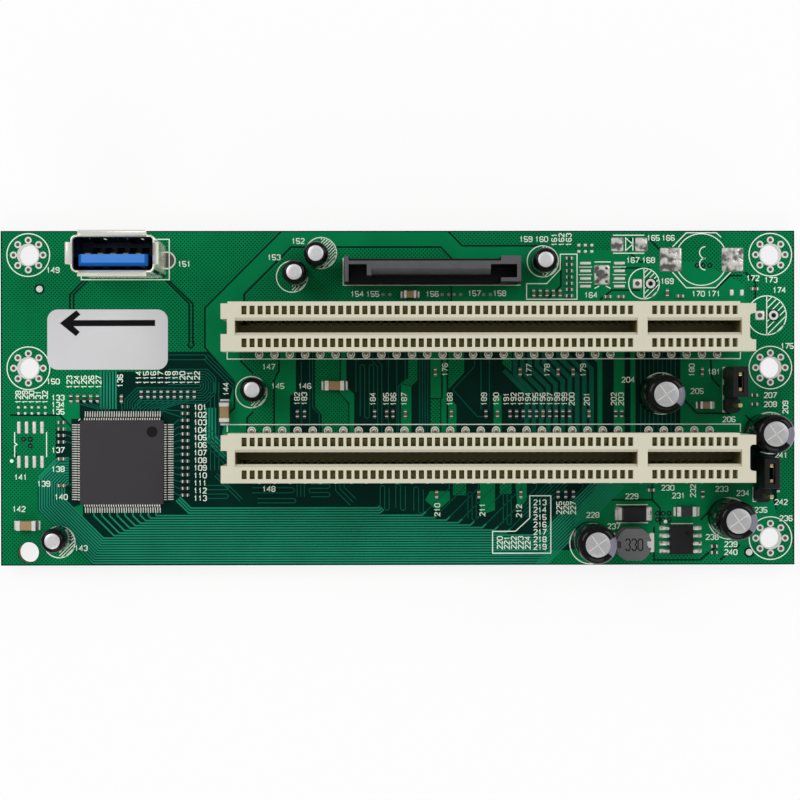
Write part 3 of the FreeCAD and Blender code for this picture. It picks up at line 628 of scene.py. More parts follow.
@recipe
def slot_plastic(f):
    """Cream moulding with painted shade: darker down inside the card gaps."""
    look = part_look()
    upper, lower = [middle(name + "_slot_housing")[1] for name in TWINS]
    top = corners("upper_slot_housing")[1][2]
    _, y, z = f.axes()
    from_slot = abs(abs(y - (upper + lower) / 2) - (upper - lower) / 2)
    # Painted shade: darker plastic below the top, between the rows of each slot.
    gap_shade = (1 - f.step(from_slot, 1.0, 1.2)) * (1 - f.step(z, top - 1.6, top - 0.4))
    grain = f.noise(0.12, 2)
    cream = f.mix(f.noise(4, 4), *tones(look.slot_plastic, 0.95, 1.05))
    return f.surface(f.mix(gap_shade, cream, look.slot_shade), 0.42 + grain * 0.14, specular=0.3,
                     height=grain, bump=(0.01, 0.35))


# A darker copy of the contact metal: partly dull springs, partly painted shade in the slot windows and the
# socket.
@recipe
def dull_spring(f):
    return f.plain(tones(part_look().spring, 0.55, 1.15), drift=(0.5, 3), rough=(0.45, 0.2),
                   bump=(0.02, 0.3), metal=0.35)


@recipe
def plated_contact(f):
    return f.plain(tones(part_look().contact, 0.75, 1.1), drift=(0.4, 3), rough=(0.24, 0.2),
                   bump=(0.02, 0.3), metal=1.0)


@recipe
def black_plastic(f):
    return f.plain(tones(part_look().black_plastic, 0.85, 1.2), drift=(1.5, 4), rough=(0.34, 0.18),
                   grain=(0.09, 2), bump=(0.012, 0.4), specular=0.18)


@recipe
def plug_plastic(f):
    """Black moulding with painted light: level faces near its top are painted lighter, and sides and cavities
    painted near black as shade.
    """
    look = part_look()
    top = corners("power_plug_housing")[1][2]
    # Painted light and shade: level faces near the top take the lighter grey, sides and the deep cavities a
    # near-black painted shade.
    level = f.step(f.facing(), 0.4, 0.8) * f.step(f.axes()[2], top - 4, top - 1)
    grain = f.noise(0.09, 2)
    lit_grey = f.mix(f.noise(1.5, 4), *tones(look.plug_plastic, 0.8, 1.2))
    return f.surface(f.mix(level, scaled(look.plug_plastic, 0.06), lit_grey), 0.4 + grain * 0.18, specular=0.2,
                     height=grain, bump=(0.012, 0.4))


@recipe
def blue_plastic(f):
    """Blue moulding with painted shade: near black down inside the shell, and a darker blue on slanted edges.
    """
    look = part_look()
    high = corners("data_socket_insulator")[1][2]
    # Painted shade: below the mouth the insulator turns near black.
    mouth = f.step(f.axes()[2], high - 2.5, high - 0.4)
    flow = f.noise(1.8, 3)
    # Painted shade: the slanted faces take the darker blue edge colour.
    level = f.step(f.facing(), 0.75, 0.95)
    blue = f.mix(level, look.blue_edge, f.mix(flow, *tones(look.blue_plastic, 0.92, 1.08)))
    return f.surface(f.mix(mouth, scaled(look.blue_plastic, 0.06), blue), 0.34 + flow * 0.12, specular=0.25,
                     height=f.noise(0.1), bump=(0.01, 0.3))


@recipe
def plated_steel(f):
    """Bright steel outside, with painted shade: dark on the walls inside the mouth."""
    look = part_look()
    high = corners("data_socket_insulator")[1][2]
    mouth_x, mouth_y, _ = middle("data_socket_insulator")
    width, depth, _ = extent(*corners("data_socket_insulator"))
    x, y, z = f.axes()
    inside_x = abs(x - mouth_x) < width / 2 + SHELL_SHADE_REACH
    inside_y = abs(y - mouth_y) < depth / 2 + SHELL_SHADE_REACH
    # Painted shade: the shell's walls inside the mouth take a near-black blue.
    inside = inside_x * inside_y * (1 - f.step(z, high - 1.0, high + 0.3))
    stretched = f.node("ShaderNodeCombineXYZ", {}, {
        0: x * MM * STRETCH, 1: y * MM * STRETCH, 2: z * MM})
    lines = f.noise(0.5, 3, stretched)
    steel = f.mix(lines, *tones(look.shell, 0.94, 1.04))
    return f.surface(f.mix(inside, steel, scaled(look.blue_plastic, 0.1)), 0.18 + lines * 0.1, metal=0.7,
                     height=lines, bump=(0.01, 0.1))


@recipe
def epoxy(f):
    return f.plain(tones(part_look().epoxy, 0.9, 1.12), drift=(3, 2), rough=(0.5, 0.2), grain=(0.1, 3),
                   bump=(0.012, 0.5), specular=0.35)


@recipe
def polished_epoxy(f):
    return f.plain(tones(part_look().epoxy, 0.2, 0.3), drift=(0.6,), rough=(0.36, 0.1), grain=(0.1,),
                   specular=0.15)


@recipe
def sleeve(f):
    return f.plain(tones(part_look().sleeve, 0.8, 1.3), drift=(0.9, 2), rough=(0.06, 0.06),
                   bump=(0.05, 0.2), specular=0.15)


@recipe
def striped_sleeve(f):
    """Sleeve with one grey band down its right side."""
    look = part_look()
    x, y, _ = f.axes()
    band = 1 - f.step(abs(y.turn(x) + STRIPE_TURN), 0.52, 0.58)
    ripple = f.noise(0.9, 2)
    black = f.mix(ripple, *tones(look.sleeve, 0.8, 1.3))
    return f.surface(f.mix(band, black, look.stripe), 0.06 + ripple * 0.06, specular=0.15,
                     height=ripple, bump=(0.05, 0.2))


@recipe
def spun_aluminium(f):
    return f.plain(tones(part_look().aluminium, 0.85, 1.1), drift=(0.35, 3), rough=(0.34, 0.2),
                   bump=(0.02, 0.35), metal=1.0)


@recipe
def dull_aluminium(f):
    return f.plain(tones(part_look().aluminium, 0.6, 0.75), drift=(0.35, 3), rough=(0.34, 0.2),
                   bump=(0.02, 0.35), metal=1.0)


@recipe
def small_ceramic(f):
    return f.plain(tones(part_look().ceramic, 0.3, 0.6), drift=(0.15, 3), rough=(0.42, 0.2), specular=0.35)


@recipe
def ceramic(f):
    return f.plain(tones(part_look().ceramic, 0.8, 1.2), drift=(0.15, 3), rough=(0.42, 0.2),
                   bump=(0.015, 0.4), specular=0.35)


@recipe
def ferrite(f):
    return f.plain(tones(part_look().ferrite, 0.7, 1.3), drift=(0.14, 4), rough=(0.6, 0.2),
                   bump=(0.03, 0.5), specular=0.3)


@recipe
def enamel_wire(f):
    # The wire is darker between turns: painted shade in the grooves.
    turns = abs((f.axes()[2] / WIRE) % 1 - 0.5)
    return f.surface(f.mix(turns, *WIRE_AND_GROOVE_SHADE_COLOURS), 0.3 + turns * 0.2, metal=0.7,
                     height=turns, bump=(0.08, 0.8))


@recipe
def resistor_film(f):
    return f.plain(FILM_COLOURS, drift=(0.12, 2), rough=(0.3, 0.15), specular=0.45)


@recipe
def label_paper(f):
    return f.plain(tones(part_look().paper, 0.96, 1.04), drift=(6, 2), rough=(0.5, 0.15), grain=(0.2, 3),
                   bump=(0.01, 0.3), specular=0.3)


@recipe
def label_ink(f):
    return f.plain(tones(part_look().ink, 0.7, 1.6), drift=(0.2, 3), rough=(0.42, 0.15), specular=0.1)


@recipe
def value_paint(f):
    return f.plain(PAINT_COLOURS, drift=(0.1, 2), rough=(0.6, 0.1), specular=0.1)


# Shared shapes of the parts

# Bend of a solder fillet as shares of its run and its height, and the height of its thin end
FILLET_BEND = (0.35, 0.4)
FILLET_END = 0.05

# A soldered tail under the board, as shares of its radius and its depth: the cone of solder, then the pin
SOLDER_CONE = [(0.72, 0.18), (0.5, 0.4)]
PIN_TAPER = [(1.1, 0.66), (1, 0.9), (0.7, 1)]
PAD_DEPTH = 0.05

# Depth by which a thin layer is sunk into what carries it
BEDDING = 0.01


def lifted(bends, level):
    """Bends given as (reach, height, width), with their heights counted from a level."""
    return [(reach, level + height, width) for reach, height, width in bends]


def bent_strip(shape, origin, direction, path, thickness, coat=None):
    """A flat strip bent along a path of (reach, height, width), reaching from origin in a level direction."""
    dx, dy = direction
    rings = []
    for i, (reach, z, width) in enumerate(path):
        back = path[max(i - 1, 0)]
        ahead = path[min(i + 1, len(path) - 1)]
        run = heading(back, ahead)
        lift, shift = run.x * thickness / 2, -run.y * thickness / 2
        ring = []
        for side, up in ((-1, -1), (1, -1), (1, 1), (-1, 1)):
            out = reach + up * shift
            across = side * width / 2
            ring.append((origin[0] + dx * out - dy * across, origin[1] + dy * out + dx * across,
                         z + up * lift))
        rings.append(ring)
    shape.loft(rings, coat)


def wedge(shape, origin, direction, near, far, width, low, high, coat):
    """A solder fillet that slopes from high at its near end to low at its far end."""
    dx, dy = direction
    bend = (near + (far - near) * FILLET_BEND[0], low + (high - low) * FILLET_BEND[1])
    profile = [(near, low), (far, low), (far, low + FILLET_END), bend, (near, high)]
    rings = []
    for across in (-width / 2, width / 2):
        rings.append([(origin[0] + dx * reach - dy * across, origin[1] + dy * reach + dx * across, z)
                      for reach, z in profile])
    shape.loft(rings, coat)


def joint(shape, place, radius, tip, pin, count):
    """A soldered tail under the board: a hollow cone of solder that climbs its pin."""
    depth = UNDERSIDE - tip
    profile = [(radius, UNDERSIDE + BEDDING), (radius, UNDERSIDE - PAD_DEPTH)]
    profile += [(radius * share, UNDERSIDE - depth * down) for share, down in SOLDER_CONE]
    profile += [(pin * share, UNDERSIDE - depth * down) for share, down in PIN_TAPER]
    shape.lathe(profile, place, count)


def bridge_leads():
    """For each lead of the bridge chip, the way it points and its start on a midline of the chip."""
    x, y, _ = middle("bridge_chip_leads")
    leads = []
    for low, high in solids("bridge_chip_leads"):
        lead_x, lead_y, _ = centre(low, high)
        if abs(lead_x - x) > abs(lead_y - y):
            leads.append(((math.copysign(1, lead_x - x), 0), (x, lead_y)))
        else:
            leads.append(((0, math.copysign(1, lead_y - y)), (lead_x, y)))
    return leads


class CardOperator:
    """What the operators share."""

    bl_options = {"REGISTER", "UNDO"}

    def execute(self, context):
        self.build(context)
        return {"FINISHED"}


# Card slots. Bends of a spring are (distance from the slot's midline, height, width).
# Heights of the first bends count from the board, those of the mouth from the slot's top.

LEAF = 0.2
TAIL_WIDTH = 0.42
TAIL_RISE = 0.6
OUTER_SHARE = 0.9
OUTER_BENDS = [(3.2, 1.5, 0.55), (2.5, 3.0, 0.7)]
INNER_BENDS = [(1.5, 2.4, 0.6)]
BOW = [(1.25, 5.2, 0.62), (0.92, 8.0, 0.5)]
MOUTH = [(1.15, -3.8, 0.4), (1.85, -1.9, 0.34), (2.15, -1.5, 0.62), (3.05, -1.3, 0.62)]

TAIL_CONE = 0.68
TAIL_PIN = 0.27
TAIL_TIP = 0.25
TAIL_RING = (0.7, 0.5)
TAIL_RING_RISE = 0.09
TAIL_HOLE_RISE = 0.05
TAIL_SOLDER = [(0.44, 0), (0.4, 0.11), (0.26, 0.3)]

GAP_FLOOR = DECK + 6.8
GAP_FLOOR_HALF = 0.85
GAP_FLOOR_DEPTH = 0.4
OPENING_PLACE = 0.55
OPENING_HALF = (0.32, 0.25)
OPENING_HEIGHTS = (-0.1, 0.02)


class CARD_OT_slots(CardOperator, bpy.types.Operator):
    """Finish the slot housings and build their contacts and soldered tails"""

    bl_idname = "card.slots"
    bl_label = "Card slots"

    def build(self, context):
        for name in TWINS:
            dress(name + "_slot_housing", "slot_plastic", part_look().edge / MM)
            self.contacts(name)

    def contacts(self, name):
        node = name + "_slot_contacts"
        slot_y = middle(name + "_slot_housing")[1]
        top = corners(name + "_slot_housing")[1][2]
        row_low, row_high = corners(node)
        outer_row = row_high[1] - slot_y
        leaves = Shape("dull_spring")
        tails = Shape("tinned")
        floor = Shape("slot_plastic")
        for low, high in solids(node):
            x = centre(low, high)[0]
            side = 1 if low[1] > slot_y else -1
            outer = max(abs(low[1] - slot_y), abs(high[1] - slot_y)) > outer_row * OUTER_SHARE
            tail = outer_row if outer else outer_row / 3
            foot = [(tail, UNDERSIDE, TAIL_WIDTH), (tail, DECK + TAIL_RISE, TAIL_WIDTH)]
            rise = lifted((OUTER_BENDS if outer else INNER_BENDS) + BOW, DECK)
            bent_strip(leaves, (x, slot_y), (0, side), foot, LEAF, "tinned")
            bent_strip(leaves, (x, slot_y), (0, side), foot[1:] + rise + lifted(MOUTH, top), LEAF)
            place = (x, slot_y + side * tail)
            joint(tails, place, TAIL_CONE, TAIL_TIP, TAIL_PIN, 12)
            if outer:
                self.soldered_hole(tails, place)
            self.opening(floor, x, slot_y + side * OPENING_PLACE)
        floor.box((row_low[0], slot_y - GAP_FLOOR_HALF, GAP_FLOOR - GAP_FLOOR_DEPTH),
                  (row_high[0], slot_y + GAP_FLOOR_HALF, GAP_FLOOR))
        leaves.piece(name + "_slot_springs", replaces=node)
        floor.piece(name + "_slot_floor")
        tails.piece(name + "_slot_tails")

    def soldered_hole(self, shape, place):
        # The ring and solder take the brighter tin as painted light in the shade of the slot.
        shape.ring(place, *TAIL_RING, 20, DECK, DECK + TAIL_RING_RISE, "frosted_tin")
        shape.disc(place, TAIL_RING[1] + BEDDING, 20, DECK, DECK + TAIL_HOLE_RISE, "gap_mask")
        shape.lathe([(radius, DECK + rise) for radius, rise in TAIL_SOLDER], place, 16, "frosted_tin")

    def opening(self, shape, x, y):
        half_x, half_y = OPENING_HALF
        low, high = OPENING_HEIGHTS
        # Each opening in the gap floor is a near-black box, a painted shade.
        shape.box((x - half_x, y - half_y, GAP_FLOOR + low),
                  (x + half_x, y + half_y, GAP_FLOOR + high), "drilled")


class CARD_OT_data_socket(CardOperator, bpy.types.Operator):
    """Finish the data socket: shell, insulator and contacts"""

    bl_idname = "card.data_socket"
    bl_label = "Data socket"

    def build(self, context):
        dress("data_socket_shell", "plated_steel", edge=0.08)
        dress("data_socket_insulator", "blue_plastic")
        # The socket contacts take the darker spring metal, partly painted shade.
        dress("data_socket_contacts", "dull_spring", edge=0.03)


class CARD_OT_power_plug(CardOperator, bpy.types.Operator):
    """Finish the power plug and its contacts"""

    bl_idname = "card.power_plug"
    bl_label = "Power plug"

    def build(self, context):
        dress("power_plug_housing", "plug_plastic", edge=0.1)
        dress("power_plug_contacts", "plated_contact")


# Chips. Bends of a lead are (distance from the body's side, height, width).
# Heights of the shoulder count from the middle of the body, those of the foot from the board.

PACKAGE_SIDES = 48
PARTING_INSET = 0.02
PARTING_HALF = 0.06
TOP_EDGE = (0.05, 0.03)
DIMPLE_TAPER = 0.95
DIMPLE_DEPTH = 0.05
LEAD_THICKNESS = 0.12
LEAD_WIDTH = 0.18
LEAD_SHOULDER = [(-0.1, 0, LEAD_WIDTH), (0.2, 0, LEAD_WIDTH), (0.3, -0.06, LEAD_WIDTH)]
LEAD_FOOT = [(0.4, 0.2, LEAD_WIDTH), (0.5, 0.12, LEAD_WIDTH), (1.0, 0.1, LEAD_WIDTH)]


class CARD_OT_chips(CardOperator, bpy.types.Operator):
    """Build the bodies and bent leads of the bridge chip and the regulator"""

    bl_idname = "card.chips"
    bl_label = "Chips"

    def build(self, context):
        self.body("bridge_chip_body", dimple=(5.05, 5.05), radius=0.93, draft=0.12, coat="epoxy")
        self.body("regulator_body", dimple=(0.9, 1.2), radius=0.45, draft=0.1, coat="black_plastic")
        self.bent_leads()
        dress("regulator_leads", "tinned", edge=0.03)

    def body(self, node, dimple, radius, draft, coat):
        """A moulded body with a shallow round dimple in its top."""
        low, high = corners(node)
        x, y, parting = middle(node)
        width, depth, _ = extent(low, high)
        spot = (x + dimple[0], y + dimple[1])
        start = math.pi / 4

        def rim(inset, z):
            ring = []
            for px, py in circle((0, 0), 1, PACKAGE_SIDES, start=start):
                reach = max(abs(px), abs(py))
                ring.append((x + px / reach * (width / 2 - inset), y + py / reach * (depth / 2 - inset), z))
            return ring

        shape = Shape(coat)
        shape.loft([rim(draft, low[2]),
                    rim(PARTING_INSET, parting - PARTING_HALF),
                    rim(PARTING_INSET, parting + PARTING_HALF),
                    rim(draft, high[2] - TOP_EDGE[1]),
                    rim(draft + TOP_EDGE[0], high[2]),
                    circle(spot, radius, PACKAGE_SIDES, high[2], start),
                    circle(spot, radius * DIMPLE_TAPER, PACKAGE_SIDES, high[2] - DIMPLE_DEPTH, start)])
        shape.coats[-1] = "polished_epoxy"
        shape.piece(node.replace("_body", "_package"), replaces=node, sharp=25)

    def bent_leads(self):
        half = extent(*corners("bridge_chip_body"))[0] / 2
        bends = lifted(LEAD_SHOULDER, middle("bridge_chip_body")[2]) + lifted(LEAD_FOOT, DECK)
        path = [(half + reach, z, width) for reach, z, width in bends]
        shape = Shape("tinned")
        for direction, origin in bridge_leads():
            bent_strip(shape, origin, direction, path[:3], LEAD_THICKNESS)
            # The slope between shoulder and foot is laid in near-black metal as painted shade.
            bent_strip(shape, origin, direction, path[2:5], LEAD_THICKNESS, "drilled")
            bent_strip(shape, origin, direction, path[4:], LEAD_THICKNESS)
        shape.piece("bridge_chip_bent_leads", replaces="bridge_chip_leads")


# Electrolytic capacitors

LARGE_TOP = 2.05
SMALL_TOP = 1.3

# Foot as (inset, height), crimp as (inset, share of the height), roll as (share of its width, drop)
CAN_FOOT = [(0.35, 0.02), (0.12, 0.06), (0, 0.3)]
CAN_CRIMP = [(0, 0.1), (0.05, 0.12), (0.16, 0.145), (0.05, 0.17), (0, 0.19)]
CAN_ROLL = [(0, 0.85), (0.16, 0.4), (0.45, 0.14), (0.8, 0.02)]

# Lip of the sleeve and rim of the metal top as (step out from the top's radius, drop), face as (share, drop)
SLEEVE_LIP = [(0.04, 0), (-0.02, 0.03), (-0.02, 0.3)]
TOP_RIM = [(-0.01, 0.3), (-0.01, 0.1)]
TOP_FACE = [(0.94, 0.06), (0.5, 0.05), (0, 0.05)]

VENT_TURN = math.radians(35)
VENT_REACH = 0.86
VENT_WIDTH = 0.12
VENT_DROPS = (0.07, 0.03)


class CARD_OT_cans(CardOperator, bpy.types.Operator):
    """Build the electrolytic capacitors: sleeve, crimp, top and vent scores"""

    bl_idname = "card.cans"
    bl_label = "Electrolytic capacitors"

    def build(self, context):
        for node in nodes_named("large_capacitor"):
            self.can(node, LARGE_TOP, "striped_sleeve", "dull_aluminium", scored=True)
        for node in nodes_named("small_capacitor"):
            self.can(node, SMALL_TOP, "sleeve", "spun_aluminium")

    def can(self, node, bare, coat, top_coat, scored=False):
        x, y, _ = middle(node)
        width, _, height = extent(*corners(node))
        radius = width / 2
        shape = Shape(coat)
        side = [(radius - inset, z) for inset, z in CAN_FOOT]
        side += [(radius - inset, height * share) for inset, share in CAN_CRIMP]
        side += [(radius - (radius - bare) * share, height - drop) for share, drop in CAN_ROLL]
        shape.lathe(side + [(bare + step, height - drop) for step, drop in SLEEVE_LIP])
        rim = [(bare + step, height - drop) for step, drop in TOP_RIM]
        shape.lathe(rim + [(bare * share, height - drop) for share, drop in TOP_FACE], coat=top_coat)
        if scored:
            low, high = [height - drop for drop in VENT_DROPS]
            for end in circle((0, 0), bare * VENT_REACH, 4, start=VENT_TURN):
                # The vent scores are laid in pale tin as painted highlights along them.
                shape.ribbon([(0, 0), end], VENT_WIDTH, low, high, "tinned")
        shape.piece(node.replace("capacitor", "can"), (x, y, DECK), node)


# Chip parts: shares of their length, width and height, then lengths

CAP_SHARE = 0.4
BODY_HALF = 0.46
BODY_TOP = 0.94
FILLET_WIDTH = 0.96
FILLET_TOP = 0.75
FILLET_REACH = 0.45
LONGEST_FILLET = 0.3
BODY_LIFT = 0.03
CAP_LIFT = 0.02


def large_chip_parts():
    return nodes_named("ceramic_capacitor", "link_resistor")


class CARD_OT_chip_parts(CardOperator, bpy.types.Operator):
    """Build the chip resistors and chip capacitors with their end caps and solder"""

    bl_idname = "card.chip_parts"
    bl_label = "Chip parts"

    def build(self, context):
        self.soldered("chip_resistors", "resistor_film", edge=0.03)
        self.soldered("chip_capacitors", "small_ceramic", edge=0.03)
        for node in large_chip_parts():
            self.soldered(node, "ceramic" if node.startswith("ceramic") else "resistor_film", edge=0.06)

    def soldered(self, node, coat, edge):
        shape = Shape(coat)
        for low, high in solids(node):
            self.chip_part(shape, low, high)
        shape.piece(node + "_soldered", replaces=node, edge=edge)

    def chip_part(self, shape, low, high):
        """A chip part on its two pads: body and end caps in the frame's solid, and solder fillets."""
        x, y, _ = centre(low, high)
        size_x, size_y, height = extent(low, high)
        dx, dy = (1, 0) if size_x > size_y else (0, 1)
        reach = max(size_x, size_y) / 2
        width = min(size_x, size_y)
        cap = reach * (1 - CAP_SHARE)

        def block(near, far, half, bottom, top, coat=None):
            outline = [(x + dx * r - dy * a, y + dy * r + dx * a)
                       for r, a in ((near, -half), (far, -half), (far, half), (near, half))]
            shape.prism(outline, bottom, top, coat)

        block(-cap, cap, width * BODY_HALF, DECK + BODY_LIFT, DECK + height * BODY_TOP)
        for side in (-1, 1):
            block(side * cap, side * reach, width / 2, DECK + CAP_LIFT, DECK + height, "tinned")
            wedge(shape, (x, y), (side * dx, side * dy), reach,
                  reach + min(LONGEST_FILLET, height * FILLET_REACH), width * FILLET_WIDTH,
                  DECK + BODY_LIFT, DECK + height * FILLET_TOP, "dull_solder")


COIL_NUMBER = 330
COIL_NUMBER_HEIGHT = 1.85
COIL_NUMBER_WIDTH = 0.62


class CARD_OT_coil_and_diode(CardOperator, bpy.types.Operator):
    """Finish the inductor and the diode"""

    bl_idname = "card.coil_and_diode"
    bl_label = "Inductor and diode"

    def build(self, context):
        dress("inductor_core", "ferrite", edge=0.08)
        x, y, _ = middle("inductor_core")
        top = corners("inductor_core")[1][2]
        paint = Shape("value_paint")
        number(paint, COIL_NUMBER, (x, y), COIL_NUMBER_HEIGHT, top - 2 * BEDDING, top + BEDDING,
               narrow=COIL_NUMBER_WIDTH)
        paint.piece("inductor_number")
        dress("inductor_winding", "enamel_wire")
        dress("inductor_terminals", "tinned", edge=0.05)
        dress("diode_body", "black_plastic", edge=0.06)
        dress("diode_leads", "tinned", edge=0.04)


class CARD_OT_headers(CardOperator, bpy.types.Operator):
    """Finish the pin headers and their jumper caps"""

    bl_idname = "card.headers"
    bl_label = "Headers"

    def build(self, context):
        for name in TWINS:
            dress(name + "_header_base", "black_plastic", edge=0.06)
            dress(name + "_header_pins", "plated_contact", edge=0.1)
            dress(name + "_jumper_cap", "black_plastic", edge=0.12)
            # The jumper clips are near-black metal, painted shade inside the cap's window.
            dress(name + "_jumper_clip", "drilled", edge=0.03)


# The label's arrow: places of its tip and tail from the left and upper edge, and its head round the tip

ARROW_TIP = (2.1, -2.28)
ARROW_TAIL = (17.9, -2.25)
ARROW_NECK = 1.2
ARROW_WIDTH = 1.0
ARROW_RISE = 0.02
ARROW_HEAD_RISE = 0.025
ARROW_HEAD = [(2.65, -2.15), (3.3, -1.45), (2.1, -0.35), (2.1, 0.35), (3.4, 1.45), (2.75, 2.15), (0, 0)]


class CARD_OT_label(CardOperator, bpy.types.Operator):
    """Finish the label and print its arrow"""

    bl_idname = "card.label"
    bl_label = "Label"

    def build(self, context):
        dress("arrow_label", "label_paper")
        low, high = corners("arrow_label")
        left, upper, top = low[0], high[1], high[2]
        x, y = left + ARROW_TIP[0], upper + ARROW_TIP[1]
        arrow = Shape("label_ink")
        shaft = [(left + ARROW_TAIL[0], upper + ARROW_TAIL[1]), (x + ARROW_NECK, y)]
        arrow.ribbon(shaft, ARROW_WIDTH, top - BEDDING, top + ARROW_RISE)
        head = [(x + dx, y + dy) for dx, dy in ARROW_HEAD]
        arrow.prism(head, top - BEDDING, top + ARROW_HEAD_RISE)
        arrow.piece("label_arrow")


LEAD_CONE = 0.85
LEAD_PIN = 0.3
LEAD_TIP = 0.05


class CARD_OT_joints(CardOperator, bpy.types.Operator):
    """Build the soldered joints under the board"""

    bl_idname = "card.joints"
    bl_label = "Soldered joints"

    def build(self, context):
        shape = Shape("tinned")
        for low, high in solids("lead_solder_joints"):
            joint(shape, centre(low, high), LEAD_CONE, LEAD_TIP, LEAD_PIN, 16)
        shape.piece("lead_joints", replaces="lead_solder_joints")


class CARD_OT_board(CardOperator, bpy.types.Operator):
    """Finish the laminate of the board"""

    bl_idname = "card.board"
    bl_label = "Board"

    def build(self, context):
        dress("circuit_board", "bare_mask")


# Artwork of the board, measured on the photograph, in millimetres from the middle of the board

EDGE_MARGIN = 0.2
HOLES = [(-61.4, 23.8), (-61.4, 5.0), (62.0, 23.8), (62.0, 5.0), (62.0, -23.4)]
PLAIN_HOLE = (-61.4, -25.6)
HOLE_RADIUS = 1.7
HOLE_CLEARANCE = 0.1

# Outlines of hatched and of solid copper areas, and the gaps beside them as paths
HATCHED = [
    [(-66, 28), (-19.4, 28), (-32.1, 15.1), (-32.1, 8.4), (-31.3, 7.7), (-39.6, 7.7), (-39.6, 4.4),
     (-49.5, 4.4), (-49.5, -0.3), (-54.5, -0.3), (-56.8, -2.6), (-56.9, -11.2), (-59.9, -14.1),
     (-59.9, -18.6), (-50.9, -28), (-66, -28)],
    [(-17.9, 25), (7.1, 25), (8.8, 23.2), (8.8, 15), (-25.4, 15), (-25.4, 17.3)],
    [(8.7, 28), (66, 28), (66, 15), (25, 15), (25, 25.3), (10.8, 25.3)],
    [(-26.2, 7.8), (-19.9, 7.8), (-19.9, 4.5), (-20.7, 3), (-20.7, -6), (-25, -6), (-25, -3.3),
     (-24.1, -2.4), (-24.1, 4.2), (-26.2, 6.3)],
    [(-13.8, 7.8), (-9.7, 7.8), (-9.7, 3), (-10.4, 1.4), (-8.3, -0.9), (-8.3, -6), (-12.7, -6),
     (-12.7, -2.8), (-13.8, -1.5)],
    [(1.7, 7.8), (3.2, 7.8), (3.2, 3), (2.2, 2), (0.7, 2.4), (1.7, 3.4)],
    [(5.4, -0.2), (7, -0.2), (7, -6), (5.4, -6)],
    [(8.3, 7.8), (11, 7.8), (11, 4.2), (8.3, 1.3)],
    [(17.4, 7.8), (18.9, 7.8), (18.9, 4.4), (17.4, 5.6)],
    [(58.3, 15), (66, 15), (66, -28), (22.8, -28), (24.4, -25.5), (62.9, -23.7), (63.3, -5.4),
     (59.8, -0.4), (59.8, 7.8), (58.3, 7.8)],
    [(9.1, -13), (11.3, -13), (11.3, -16.2), (9.1, -16.2)],
    [(16.9, -13), (18.9, -13), (18.9, -16), (16.9, -16)],
]
SOLID = [
    [(-19.4, 28), (8.7, 28), (10.8, 25.3), (25, 25.3), (25, 15), (9, 15), (9, 23.3), (7.2, 25.1),
     (-17.9, 25.1), (-25.6, 17.5), (-25.6, 15), (-26.3, 15), (-26.3, 6.1), (-24.2, 4), (-24.2, -2.3),
     (-25.2, -3.3), (-25.2, -6), (-29.3, -6), (-27.2, 2.8), (-32.1, 8.3), (-32.1, 15)],
    [(-19.7, 7.8), (-17, 7.8), (-17, 1.2), (-18, 0.3), (-18, -6), (-20.5, -6), (-20.5, 2.9),
     (-19.7, 4.4)],
    [(-9.5, 7.8), (-8.6, 7.8), (-8.6, 2), (-7.3, 0.6), (-7.3, -6), (-8.1, -6), (-8.1, -0.8),
     (-10.2, 1.4), (-9.5, 2.9)],
    [(0.5, 2.3), (2.2, 1.9), (2.2, -6), (0.5, -6)],
    [(5.4, 7.8), (7.2, 7.8), (7.2, 0), (5.4, 0)],
    [(7.5, 7.8), (8.1, 7.8), (8.1, -6), (7.2, -6), (7.2, 0)],
    [(8.3, 0.2), (9.7, -1.2), (9.7, -6), (8.3, -6)],
    [(15.9, 0.4), (17.2, 0.4), (17.2, -6), (15.9, -6)],
    [(31.9, 7.8), (34, 7.8), (34, -6), (33.2, -6), (33.2, 5.8), (31.9, 7)],
    [(35.9, 7.8), (37.7, 7.8), (37.7, -6), (35.9, -6)],
    [(38.7, 7.8), (39.5, 7.8), (39.5, -6), (38.7, -6)],
    [(47, 7.8), (59.8, 7.8), (59.8, -0.4), (63.3, -5.4), (63.3, -7.1), (47, -6)],
    [(34.4, -13), (61.5, -13), (63.3, -20.4), (62.9, -23.7), (50.3, -25.7), (31.9, -25.7), (29.4, -23.7),
     (29.4, -19.3)],
    [(25, 24.6), (40.3, 24.6), (42.2, 22.6), (50.3, 22.6), (57.8, 18.8), (57.8, 15), (25, 15)],
    [(-53.9, -18.1), (-52.4, -19.6), (-52.4, -17.5)],
    [(-57, 0.6), (-54.3, 0.6), (-52.9, -0.8), (-52.9, -3.4), (-54.3, -3.4), (-54.3, -5.4),
     (-56.7, -5.4)],
    [(5.3, -15.5), (8.6, -15.5), (8.6, -17), (6.5, -18.8), (4.5, -17)],
    [(13.6, -13), (16.1, -13), (16.1, -18.7), (13.6, -19.5)],
    [(19.4, -13), (21.4, -13), (21.4, -17), (19.9, -18.7)],
]
